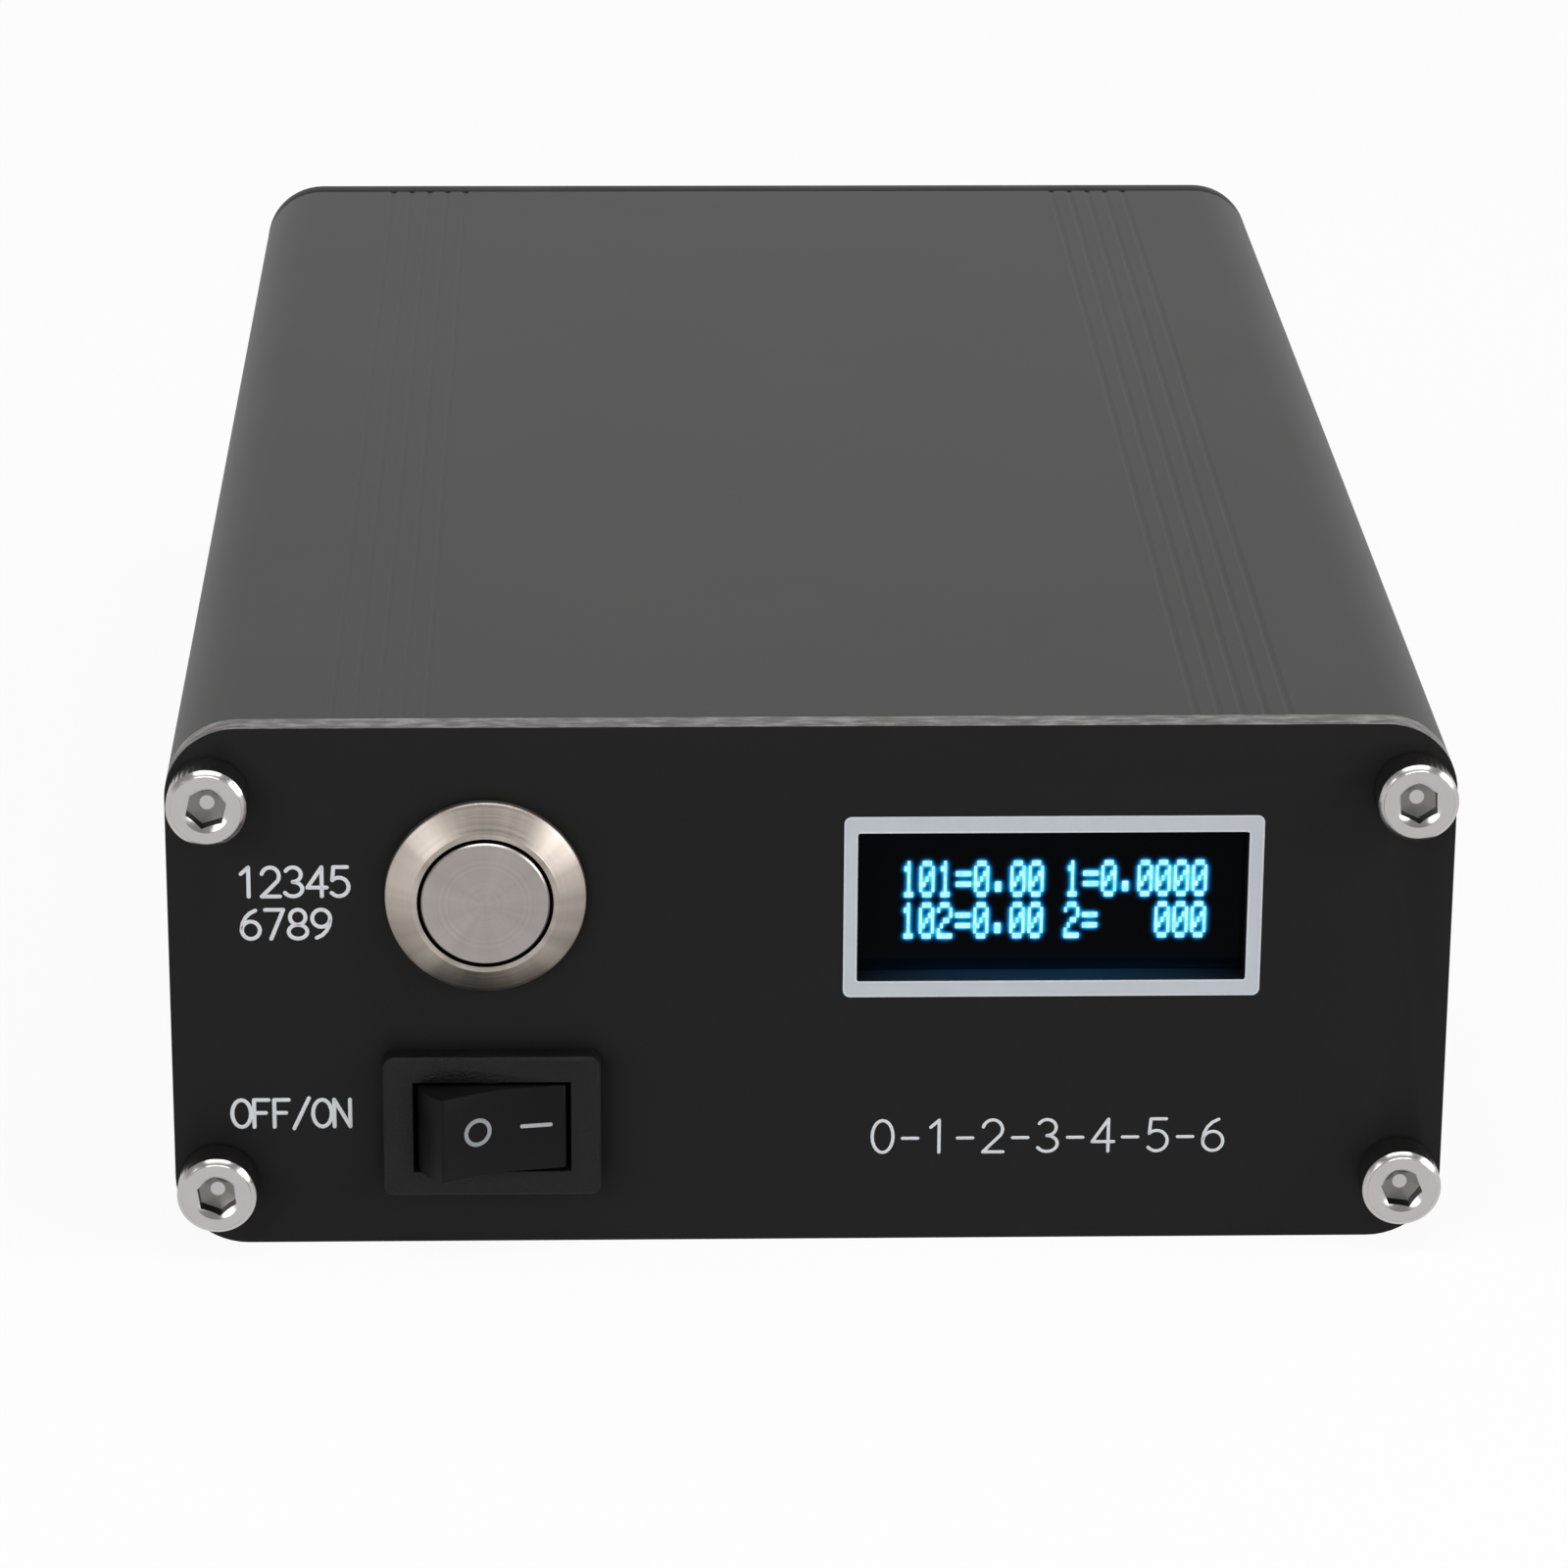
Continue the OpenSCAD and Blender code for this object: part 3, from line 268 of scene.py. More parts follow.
def rounded(low, high, corner, level, n=6):
    """A ring round a rectangle with rounded corners, at one height."""
    ring = []
    for i, (sx, sy) in enumerate(((1, 1), (-1, 1), (-1, -1), (1, -1))):
        cx = (high[0] if sx > 0 else low[0]) - sx * corner
        cy = (high[1] if sy > 0 else low[1]) - sy * corner
        for k in range(n + 1):
            a = math.pi / 2 * (i + k / n)
            ring.append((cx + corner * math.cos(a), cy + corner * math.sin(a), level))
    return ring


def flat_ring(outer, inner, base, top):
    """A flat ring between two rounded rectangles, each given as its low and high point and corner radius."""
    edges = [rounded(*outer, base), rounded(*outer, top), rounded(*inner, top), rounded(*inner, base)]
    return skin(edges, loop=True)


def box(low, high):
    """A plain block, used for the dots of the lit characters."""
    ring = [(low[0], low[1]), (high[0], low[1]), (high[0], high[1]), (low[0], high[1])]
    return skin([[(x, y, z) for x, y in ring] for z in (low[2], high[2])])


def placed(part, matrix):
    """A part moved into the frame."""
    points, faces = part
    return [tuple(matrix @ Vector(p)) for p in points], faces


def add_part(bm, part):
    """Adds a part, given in the frame in millimetres, to a bmesh."""
    points, faces = part
    verts = [bm.verts.new(Vector(p) * MM) for p in points]
    for face in faces:
        bm.faces.new([verts[i] for i in face])


def clean(bm, smooth_angle=SMOOTH_ANGLE):
    """Makes normals consistent, shades smooth and keeps edges sharp that turn more than smooth_angle."""
    bmesh.ops.recalc_face_normals(bm, faces=bm.faces)
    for face in bm.faces:
        face.smooth = True
    for edge in bm.edges:
        edge.smooth = len(edge.link_faces) == 2 and edge.calc_face_angle(0) < math.radians(smooth_angle)


def finished(name, bm, looks, body, replaced=()):
    """Turns a bmesh into a piece that rides on a body."""
    mesh = bpy.data.meshes.new(name)
    bm.to_mesh(mesh)
    bm.free()
    obj = bpy.data.objects.new(name, mesh)
    bpy.context.scene.collection.objects.link(obj)
    for look in looks:
        mesh.materials.append(look)
    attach(obj, body)
    if replaced:
        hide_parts(*replaced)
    return obj


def piece(name, parts, looks, body, replaced=(), smooth_angle=SMOOTH_ANGLE, choose=None):
    """One piece from parts given in the frame, in millimetres; choose gives a face's look from its middle."""
    bm = bmesh.new()
    for part in parts:
        add_part(bm, part)
    if choose:
        for face in bm.faces:
            face.material_index = choose(face.calc_center_median() / MM)
    clean(bm, smooth_angle)
    return finished(name, bm, looks, body, replaced)


def welded(node):
    """A copy of a CAD node's mesh with its split vertices joined and its flat faces whole."""
    bm = bmesh.new()
    bm.from_mesh(nodes[node].data)
    bmesh.ops.remove_doubles(bm, verts=bm.verts, dist=WELD_DISTANCE)
    bmesh.ops.dissolve_limit(bm, angle_limit=math.radians(0.3), verts=bm.verts, edges=bm.edges)
    return bm


def eased(bm, width):
    """Rounds the sharp edges of a bmesh by width."""
    sharp = math.radians(EASED_ANGLE)
    edges = [e for e in bm.edges if len(e.link_faces) == 2 and e.calc_face_angle(0) > sharp]
    bmesh.ops.bevel(bm, geom=edges, offset=width * MM, offset_type="OFFSET", segments=2, profile=0.5,
                    affect="EDGES", clamp_overlap=True)


def dressed(node, width, looks, body, choose=None, smooth_angle=SMOOTH_ANGLE, shape=None):
    """A node's own form with eased edges.

    choose gives a face's look from its middle and normal, and shape moves the points.
    """
    bm = welded(node)
    if shape:
        for vert in bm.verts:
            vert.co = shape(vert.co / MM) * MM
    if choose:
        for face in bm.faces:
            face.material_index = choose(face.calc_center_median() / MM, face.normal)
    eased(bm, width)
    clean(bm, smooth_angle)
    return finished(node + "_dressed", bm, looks, body, [node])


# Materials

NOISE_LOW = 0.3
NOISE_HIGH = 0.7
LATHE_LINE = 0.2


def srgb(red, green, blue):
    """A colour from 0 to 255 as the linear values that shaders take."""
    def linear(v):
        v /= 255
        return v / 12.92 if v <= 0.04045 else ((v + 0.055) / 1.055) ** 2.4
    return linear(red), linear(green), linear(blue), 1.0


def grey(level):
    """A neutral colour in linear values."""
    return level, level, level, 1.0


def scaled(color, k):
    """A colour made lighter or darker."""
    return tuple(c * k for c in color[:3]) + (1.0,)


class Graph:
    """A node tree with short ways to add and join nodes."""

    def __init__(self, tree):
        self.tree = tree

    def join(self, socket, value):
        """Links a node's output to a socket, or sets the socket to a plain value."""
        if isinstance(value, bpy.types.NodeSocket):
            self.tree.links.new(value, socket)
        else:
            socket.default_value = value

    def add(self, kind, inputs=(), **settings):
        """A new node with its settings, and with its inputs by name or number."""
        node = self.tree.nodes.new(kind)
        for name, value in settings.items():
            setattr(node, name, value)
        for key, value in dict(inputs).items():
            self.join(node.inputs[key], value)
        return node

    def math(self, operation, a, b):
        """The result of a sum on two numbers."""
        return self.add("ShaderNodeMath", {0: a, 1: b}, operation=operation).outputs[0]

    def span(self, value, start, end, low=0.0, high=1.0):
        """A number that runs from low to high as value runs from start to end."""
        return self.add("ShaderNodeMapRange", {0: value, 1: start, 2: end, 3: low, 4: high}).outputs[0]

    def blend(self, factor, a, b):
        """A mix of two colours."""
        node = self.add("ShaderNodeMix", data_type="RGBA")
        for index, value in ((0, factor), (6, a), (7, b)):
            self.join(node.inputs[index], value)
        return node.outputs[2]

    def ramp(self, factor, stops):
        """A colour ramp through (position, colour) stops."""
        node = self.add("ShaderNodeValToRGB", {0: factor})
        elements = node.color_ramp.elements
        while len(elements) < len(stops):
            elements.new(0.5)
        for element, (position, color) in zip(elements, stops):
            element.position = position
            element.color = color
        return node.outputs[0]


class Look(Graph):
    """A Principled material."""

    def __init__(self, name, roughness=0.5, metallic=0.0, **sockets):
        self.material = bpy.data.materials.new(name)
        self.material.use_nodes = True
        super().__init__(self.material.node_tree)
        self.shader = self.tree.nodes["Principled BSDF"]
        self.set(Roughness=roughness, Metallic=metallic, **sockets)
        self.place = self.add("ShaderNodeTexCoord").outputs["Object"]

    def set(self, **sockets):
        """Joins values to the shader's sockets, whose spaces are written as underscores."""
        for name, value in sockets.items():
            self.join(self.shader.inputs[name.replace("_", " ")], value)

    def spread(self, stretch, shift=(0, 0, 0)):
        """Object coordinates, shifted in millimetres and stretched."""
        back = tuple(-s * MM for s in shift)
        moved = self.add("ShaderNodeVectorMath", {0: self.place, 1: back}, operation="ADD").outputs[0]
        return self.add("ShaderNodeVectorMath", {0: moved, 1: stretch}, operation="MULTIPLY").outputs[0]

    def noise(self, size, stretch=None, detail=3.0):
        """Noise with features of about that size in millimetres."""
        where = self.spread(stretch) if stretch else self.place
        inputs = {"Vector": where, "Scale": 1 / (size * MM), "Detail": detail}
        return self.add("ShaderNodeTexNoise", inputs).outputs[0]

    def between(self, noise, low, high):
        """A number that runs from low to high through a noise's middle range."""
        return self.span(noise, NOISE_LOW, NOISE_HIGH, low, high)

    def bump(self, height, depth):
        """Relief of that depth in millimetres."""
        previous = self.shader.inputs["Normal"]
        inputs = {"Height": height, "Distance": depth * MM, "Strength": 1.0}
        if previous.is_linked:
            inputs["Normal"] = previous.links[0].from_socket
        self.join(previous, self.add("ShaderNodeBump", inputs).outputs[0])


def grained(name, color, roughness, metallic=0.0, size=0.25, depth=0.008, vary=0.12, cloud=6.0, sheen=0.08,
            **sockets):
    """The common look: a colour with soft clouds and fine grain in tone, gloss and relief."""
    look = Look(name, metallic=metallic, **sockets)
    fine = look.noise(size)
    soft = look.noise(cloud, detail=4.0)
    tone = look.blend(look.between(soft, 0.0, 1.0), scaled(color, 1 - vary / 2), scaled(color, 1 + vary / 2))
    look.set(Base_Color=look.blend(look.between(fine, 0.0, 0.6), tone, scaled(color, 1 + vary)),
             Roughness=look.between(soft, roughness * (1 - sheen), roughness * (1 + sheen)))
    look.bump(fine, depth)
    return look


def plain(name, color, roughness, **settings):
    """The common look as a material that needs nothing more."""
    return grained(name, color, roughness, **settings).material


def anodised():
    """Blasted and anodised aluminium, with faint lines along the extrusion."""
    look = grained("anodised_aluminium", srgb(55, 54, 54), 0.5, size=0.16, depth=0.006, vary=0.03, cloud=20.0,
                   sheen=0.015, Specular_IOR_Level=0.2)
    drawn = look.noise(0.6, stretch=(1, 0.02, 1))
    look.bump(drawn, 0.002)
    return look.material


def bare_edge():
    """A sawn edge: broken layers along it, and the saw's fine lines across."""
    look = Look("panel_edge", roughness=0.6, Specular_IOR_Level=0.2)
    layers = look.noise(0.45, stretch=(0.3, 1, 0.3), detail=3.0)
    cuts = look.noise(0.16, stretch=(1, 0.2, 1), detail=2.0)
    patches = look.noise(9.0, detail=3.0)
    streaks = look.ramp(layers, [(0.36, srgb(88, 86, 86)), (0.5, srgb(121, 119, 119)),
                                 (0.64, srgb(158, 156, 156))])
    tone = look.blend(look.between(cuts, 0.0, 0.35), streaks, srgb(114, 111, 110))
    look.set(Base_Color=look.blend(look.between(patches, 0.0, 0.25), tone, srgb(114, 108, 104)),
             Roughness=look.between(layers, 0.5, 0.68))
    look.bump(cuts, 0.006)
    return look.material


def window_wall():
    """Smooth dark walls; the display's blue light on the lower wall of its window is painted on as a glow."""
    look = grained("window_wall", srgb(18, 18, 20), 0.3, size=0.3, depth=0.002, vary=0.15, cloud=3.0,
                   Specular_IOR_Level=0.2, Emission_Strength=1.0)
    spot = look.add("ShaderNodeSeparateXYZ", {0: look.spread((1 / MM, 1 / MM, 1 / MM))}).outputs
    # Painted glow: the display's blue light laid on the lower wall as emission, fading towards the ends
    low = look.span(spot["Z"], WINDOW_LOW[1] + 0.3, WINDOW_LOW[1] + 0.05)
    along = look.span(spot["X"], WINDOW_LOW[0] - 0.1, WINDOW_HIGH[0] + 0.1)
    fade = look.ramp(along, [(0.0, grey(0.0)), (0.25, grey(0.7)), (0.6, grey(1.0)), (1.0, grey(0.0))])
    painted_glow = look.math("MULTIPLY", low, fade)
    look.set(Emission_Color=look.blend(painted_glow, srgb(0, 0, 0), srgb(4, 36, 56)))
    return look.material


def turned(name, steel, roughness, axis, painted_wedge, brushed):
    """Satin steel with a lathe's fine circles round an axis along y, and wedges of painted sheen in its colour."""
    look = Look(name, metallic=1.0, Anisotropic=brushed)
    from_axis = look.spread((1, 0, 1), (axis.x, 0, axis.z))
    radius = look.add("ShaderNodeVectorMath", {0: from_axis}, operation="LENGTH").outputs["Value"]
    about = look.add("ShaderNodeVectorMath", {0: from_axis}, operation="NORMALIZE").outputs[0]
    lines = look.add("ShaderNodeTexNoise", {"W": radius, "Scale": 1 / (LATHE_LINE * MM), "Detail": 4.0},
                     noise_dimensions="1D").outputs[0]
    # Painted sheen: lighter and darker wedges round the axis, laid into the colour to stand for the steel's
    # reflections
    sheen = look.add("ShaderNodeTexNoise", {"Vector": about, "Scale": 2.6, "Detail": 3.0}).outputs[0]
    circles = look.blend(look.between(lines, 0.0, 1.0), scaled(steel, 0.9), scaled(steel, 1.1))
    painted_wedges = look.blend(look.between(sheen, 0.0, 1.0), scaled(steel, 1 - painted_wedge), scaled(steel, 1 + painted_wedge))
    look.set(Base_Color=look.blend(0.6, circles, painted_wedges),
             Roughness=look.between(lines, roughness * 0.88, roughness * 1.12),
             Tangent=look.add("ShaderNodeTangent", direction_type="RADIAL", axis="Y").outputs[0])
    look.bump(lines, 0.0004)
    return look.material


def moulding(name, tone, roughness, depth=0.012, specular=0.2, vary=0.3):
    """A black moulded plastic."""
    return plain(name, srgb(tone, tone, tone), roughness, size=0.2, depth=depth, vary=vary, cloud=4.0,
                 Specular_IOR_Level=specular)


def shaded_socket(name, color):
    """The inside of a screw's socket, darkened as painted shade for the depth of the hexagon."""
    return plain(name, color, 0.3, metallic=1.0, size=0.1, depth=0.003, cloud=1.0)


def print_ink(name, color):
    """Ink with a fine grain."""
    return plain(name, color, 0.5, size=0.09, depth=0.002, vary=0.06, cloud=2.0)


def lit_dots():
    """The light of the display's dots."""
    look = Look("lit_dots", roughness=0.3, Specular_IOR_Level=0.05, Base_Color=srgb(4, 20, 26))
    cell = look.between(look.noise(0.5, detail=2.0), 0.0, 1.0)
    look.set(Emission_Color=look.blend(cell, srgb(146, 244, 255), srgb(216, 255, 255)), Emission_Strength=1.0)
    return look.material


def lit_glass():
    """Black glass with the glow that the lit dots spread in it, held as the mesh's own values."""
    look = Look("lit_glass", roughness=0.12, Specular_IOR_Level=0.02, Base_Color=srgb(2, 2, 3))
    glow = look.add("ShaderNodeAttribute", attribute_name="glow").outputs["Fac"]
    haze = look.noise(1.5, detail=2.0)
    stops = [(0.0, srgb(1, 2, 3)), (0.12, srgb(0, 26, 48)), (0.35, srgb(0, 84, 142)),
             (0.65, srgb(6, 160, 215)), (1.0, srgb(80, 222, 250))]
    look.set(Emission_Color=look.ramp(glow, stops), Emission_Strength=look.between(haze, 0.9, 1.0))
    return look.material


def board():
    """A green circuit board with a faint weave."""
    look = grained("circuit_board", srgb(24, 92, 56), 0.4, size=0.5, depth=0.01, vary=0.18, cloud=5.0)
    weave = look.add("ShaderNodeTexBrick", {"Vector": look.place, "Scale": 1 / (2.4 * MM)}).outputs["Fac"]
    look.bump(weave, 0.01)
    return look.material


LOOKS = {
    "anodised_case": anodised(),
    "panel": plain("panel_lacquer", srgb(25, 25, 25), 0.52, size=0.2, depth=0.004, vary=0.14, cloud=9.0,
                   Specular_IOR_Level=0.12),
    "nickel": plain("nickel_plate", srgb(184, 180, 179), 0.2, metallic=1.0, size=0.12, depth=0.0016,
                    vary=0.06, cloud=1.2),
    "moulded": moulding("black_moulding", 22, 0.55),
    "seal_rubber": plain("seal_rubber", srgb(16, 16, 16), 0.75, size=0.2, depth=0.02),
    "display_glass": plain("display_glass", srgb(3, 3, 5), 0.08, size=2.0, depth=0.001, cloud=5.0,
                           Specular_IOR_Level=0.04),
    "board": board(),
    "brass": plain("gold_brass", srgb(206, 172, 96), 0.25, metallic=1.0, size=0.15, depth=0.002),
    "insulator": plain("white_insulator", srgb(236, 236, 230), 0.42, size=0.3, depth=0.004, vary=0.05,
                       Subsurface_Weight=0.1, Subsurface_Radius=(0.0006, 0.0005, 0.0004)),
    "relay": plain("relay_moulding", srgb(226, 226, 222), 0.35, size=0.3, depth=0.006, vary=0.05),
    "iron_core": plain("painted_core", srgb(176, 52, 38), 0.5, size=0.3, depth=0.03),
    "ferrite": plain("ferrite", srgb(58, 58, 62), 0.6, size=0.2, depth=0.03, vary=0.25),
    "copper": plain("enamelled_copper", srgb(190, 104, 58), 0.26, metallic=1.0, size=0.3, depth=0.004,
                    Coat_Weight=0.4),
    "blue_coat": plain("blue_epoxy", srgb(48, 112, 186), 0.3, size=0.6, depth=0.02),
    "can": plain("sleeved_can", srgb(30, 36, 74), 0.35, size=0.4, depth=0.008),
    "foam": plain("foam", srgb(216, 216, 208), 0.85, size=0.3, depth=0.08, vary=0.2),
    "lead": plain("insulated_wire", srgb(150, 34, 28), 0.5, size=0.3, depth=0.01),
    "stainless": plain("drawn_steel", srgb(176, 170, 164), 0.3, metallic=1.0, size=0.2, depth=0.002),
}


# CAD nodes that keep their own mesh: each takes its slot's look, and round wires get rounder
ROUND_NODES = ("inductor_windings", "meter_windings", "air_coils", "display_leads", "button_leads",
               "switch_leads", "socket_leads")
slot_of = {part["node"]: part["material_slot"] for part in frame["record"]["subparts"]}
for name, node in nodes.items():
    node.data.materials.clear()
    node.data.materials.append(LOOKS[slot_of[name]])
    if name in ROUND_NODES:
        weld = node.modifiers.new("weld", "WELD")
        weld.merge_threshold = WELD_DISTANCE
        rounder = node.modifiers.new("rounder", "SUBSURF")
        rounder.levels = 1
        rounder.render_levels = 1


# Panels: lacquered faces, bare cut edges, and glossy walls in the openings

def panel_look(spot, normal):
    """0 for the lacquered faces, 1 for the outer cut edge, 2 for the walls of openings."""
    if abs(normal.y) > 0.7:
        return 0
    near_side = abs(spot.x) > PANEL_HIGH.x - PANEL_SIDE_W
    near_end = abs(spot.z - MID_Z) > PANEL_HIGH.z - MID_Z - PANEL_END_W
    outward = spot.x * normal.x + (spot.z - MID_Z) * normal.z > 0
    return 1 if (near_side or near_end) and outward else 2


wall_look = window_wall()
dressed("front_panel", 0.07, [LOOKS["panel"], bare_edge(), wall_look], "case", panel_look)
dressed("rear_panel", 0.07, [LOOKS["panel"], LOOKS["panel"], wall_look], "case", panel_look)


# Shells, with their sawn ends broken and their grooves blasted soft

def soft_grooves(spot):
    """Raises the floors of the grooves in the top and the underside towards the surface."""
    off = spot.z - MID_Z
    surface = math.copysign(PANEL_HIGH.z - MID_Z, off)
    if abs(surface - off) < GROOVE_DEEPEST and abs(spot.x) < PANEL_HIGH.x - GROOVE_MARGIN:
        return Vector((spot.x, spot.y, MID_Z + surface + GROOVE_KEPT * (off - surface)))
    return spot


for node in ("upper_shell", "lower_shell"):
    dressed(node, 0.14, [LOOKS["anodised_case"]], "case", smooth_angle=12,
            shape=soft_grooves)


# Screws

# A head's edge from its ribs to its flat face, with a fine step: how far inward and down each point lies
HEAD_EDGE = ((0.01, HEAD_CHAMFER + 0.02), (0.04, HEAD_CHAMFER - 0.03), (0.28, 0.07), (0.3, 0.05),
             (0.33, 0.05), (0.36, 0.01), (0.4, 0.0))
# Darker nickel for the socket's walls and floor: painted shade in the hexagon's recess
socket_wall_shade = shaded_socket("socket_wall_shade", srgb(74, 72, 71))
socket_floor = shaded_socket("socket_floor", srgb(122, 119, 117))


def ribbed(level):
    """The side of a head at one height, with straight ribs."""
    def wave(a):
        return HEAD_R - RIB_DEPTH * (0.5 - 0.5 * math.cos(RIBS * a)), level
    return wave


def hexagon(a):
    """Radius of the hexagonal socket at an angle."""
    turn = (a + math.pi / 6) % (math.pi / 3) - math.pi / 6
    return HEX_AF / 2 / math.cos(turn)


def screw_head(head_h, n=144):
    """A ribbed head with a chamfer, and a countersunk hexagon with a drilled floor."""
    floor = max(head_h - HEX_DEPTH, HEX_FLOOR_LEAST)
    mouth = head_h - 0.02
    rings = [circle(SHANK_R, 0, n), circle(HEAD_R - 0.15, 0, n), circle(HEAD_R - 0.03, 0.1, n)]
    rings += [wavy(ribbed(level), n) for level in (0.22, head_h - HEAD_CHAMFER - 0.16)]
    rings += [circle(HEAD_R - inward, head_h - down, n) for inward, down in HEAD_EDGE]
    rings += [circle(HEX_MOUTH_R + 0.05, head_h, n), circle(HEX_MOUTH_R, mouth, n)]
    rings.append(wavy(lambda a: (hexagon(a), mouth - HEX_MOUTH_SLOPE * (HEX_MOUTH_R - hexagon(a))), n))
    rings.append(wavy(lambda a: (hexagon(a), floor + 0.25), n))
    rings += [circle(0.62, floor, n), circle(0.5, floor - 0.02, n)]
    return skin(rings, fill=(False, True))


def screw_shank(shank_l, n=36):
    """A shank with the grooves of its thread."""
    profile = [(SHANK_R, 0)]
    for i in range(int(shank_l / THREAD_PITCH)):
        top = -0.2 - i * THREAD_PITCH
        profile += [(SHANK_R, top), (SHANK_R - THREAD_DEPTH, top - THREAD_PITCH / 2)]
    profile += [(SHANK_R - 0.2, -shank_l + 0.05), (SHANK_R - 0.4, -shank_l)]
    return lathe(profile, n, fill=(False, True))


def screws(name, places, head_h, shank_l, replaced):
    """One piece with a socket-head screw at each place."""
    screw = (screw_head(head_h), screw_shank(shank_l))
    parts = [placed(part, place) for place in places for part in screw]
    into_screw = [place.inverted() for place in places]

    def choose(spot):
        """1 for the walls of a socket and 2 for its floor, both darkened as painted shade, and 0 elsewhere."""
        local = min((inverse @ spot for inverse in into_screw), key=lambda v: v.xy.length)
        from_axis = local.xy.length
        if from_axis > HEX_WALL_R or not 0 < local.z < head_h - HEX_MOUTH_H:
            return 0
        if from_axis > HEX_FLOOR_R:
            return 1
        return 2 if from_axis > HEX_DISC_R else 0

    piece(name, parts, [LOOKS["nickel"], socket_wall_shade, socket_floor], "case", [replaced],
          smooth_angle=32, choose=choose)


corners = [(sx * SCREW_X, MID_Z + sz * SCREW_Z) for sx in (-1, 1) for sz in (-1, 1)]
turns = [Matrix.Rotation(math.radians(a), 4, "Z") for a in SCREW_TURNS]
front_places = [on_front(*c) @ t for c, t in zip(corners, turns)]
rear_places = [on_back(*c) @ t for c, t in zip(corners, turns)]
screws("front_screws", front_places, HEAD_H, PANEL_SHANK_L, "front_panel_screws")
screws("rear_screws", rear_places, HEAD_H, PANEL_SHANK_L, "rear_panel_screws")


# Push button, turned: a bevelled flange with a flat ring, and a cap with a broken edge and a centre mark
button_place = on_front(BUTTON.x, BUTTON.z)
housing = lathe([(FLANGE_R - 0.05, 0), (FLANGE_R, 0.05), (FLANGE_R, 0.46), (FLANGE_R - 0.03, 0.55),
                 (FLANGE_R - 0.11, 0.64), (RING_R + 0.1, FLANGE_H - 0.07), (RING_R + 0.03, FLANGE_H - 0.01),
                 (RING_R - 0.04, FLANGE_H), (CAP_HOLE_R + 0.06, FLANGE_H),
                 (CAP_HOLE_R + 0.01, FLANGE_H - 0.02), (CAP_HOLE_R, FLANGE_H - 0.07), (CAP_HOLE_R, LIP_LOW),
                 (BARREL_BORE_R, LIP_LOW), (BARREL_BORE_R, -BARREL_L), (BARREL_R, -BARREL_L),
                 (BARREL_R, SEAL_H), (SEAL_R, SEAL_H), (SEAL_R, 0)], TURNED_N, loop=True)
cap = lathe([(0.04, CAP_H - 0.07), (0.2, CAP_H), (CAP_R - 0.17, CAP_H), (CAP_R - 0.13, CAP_H - 0.01),
             (CAP_R - 0.03, CAP_H - 0.11), (CAP_R, CAP_H - 0.16), (CAP_R, SKIRT_HIGH), (SKIRT_R, SKIRT_HIGH),
             (SKIRT_R, SKIRT_LOW), (STEM_R, SKIRT_LOW), (STEM_R, STEM_LOW)], TURNED_N)
housing_look = turned("turned_housing", srgb(168, 159, 151), 0.38, BUTTON, painted_wedge=0.4, brushed=0.0)
cap_look = turned("turned_cap", srgb(160, 153, 150), 0.3, BUTTON, painted_wedge=0.1, brushed=0.5)
# Near-black for the walls of the narrow gap round the cap: painted shade
gap_shade_look = plain("gap_painted_shade", srgb(9, 9, 9), 0.7, size=0.2, depth=0.004, Specular_IOR_Level=0.1)


def in_gap(inner, outer, top):
    """Chooses 1 for the walls of the gap between cap and housing, which are painted black as shade, and 0
    elsewhere.
    """
    def choose(spot):
        from_axis = math.hypot(spot.x - BUTTON.x, spot.z - BUTTON.z)
        return 1 if inner < from_axis < outer and FRONT_Y - spot.y < top else 0
    return choose


piece("button_housing_turned", [placed(housing, button_place)], [housing_look, gap_shade_look], "case",
      ["button_housing"], smooth_angle=24,
      choose=in_gap(CAP_HOLE_R - 0.02, CAP_HOLE_R + 0.02, FLANGE_H - 0.03))
piece("button_cap_turned", [placed(cap, button_place)], [cap_look, gap_shade_look], "button",
      ["button_cap"], smooth_angle=24, choose=in_gap(CAP_R - 0.02, SKIRT_R + 0.02, CAP_H - 0.15))

# The return spring stays seated on the base, with a mesh of its own
spring_mesh = welded("button_spring")
clean(spring_mesh, smooth_angle=80)
spring = finished("button_spring_coiled", spring_mesh, [LOOKS["stainless"]], "case",
                  ["button_spring"])
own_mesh(spring)


# Rocker switch, with a ring and a dash let into the two halves of the rocker
rocker_place = on_front(ROCKER_PIVOT.x, ROCKER_PIVOT.z)
rocker_place.translation.y = ROCKER_PIVOT.y
rocker_place = rocker_place @ Matrix.Rotation(ROCKER_TILT, 4, "Y")
into_rocker = rocker_place.inverted()


def rocker_face(along):
    """Height of the rocker's face over its pivot, that far from the middle."""
    return ROCKER_RISE + abs(along) * math.tan(ROCKER_LEAN)


def under_face(spot):
    """Lays the rocker's points that stand over its two leaning halves onto them."""
    local = into_rocker @ spot
    local.z = min(local.z, rocker_face(local.x))
    return rocker_place @ local


def on_rocker(side, along):
    """Local z points out of one half of the rocker's face, that far from its middle, and x runs along it."""
    spot = Matrix.Translation((side * along, MARK_UP, rocker_face(along)))
    return rocker_place @ spot @ Matrix.Rotation(-side * ROCKER_LEAN, 4, "Y")


bezel_look = moulding("bezel_moulding", 15, 0.5, depth=0.07, vary=0.8)
rocker_look = moulding("rocker_moulding", 9, 0.5, depth=0.006, specular=0.13)
dressed("switch_frame", 0.06, [bezel_look], "case")
dressed("switch_rocker", 0.08, [rocker_look], "rocker", shape=under_face)

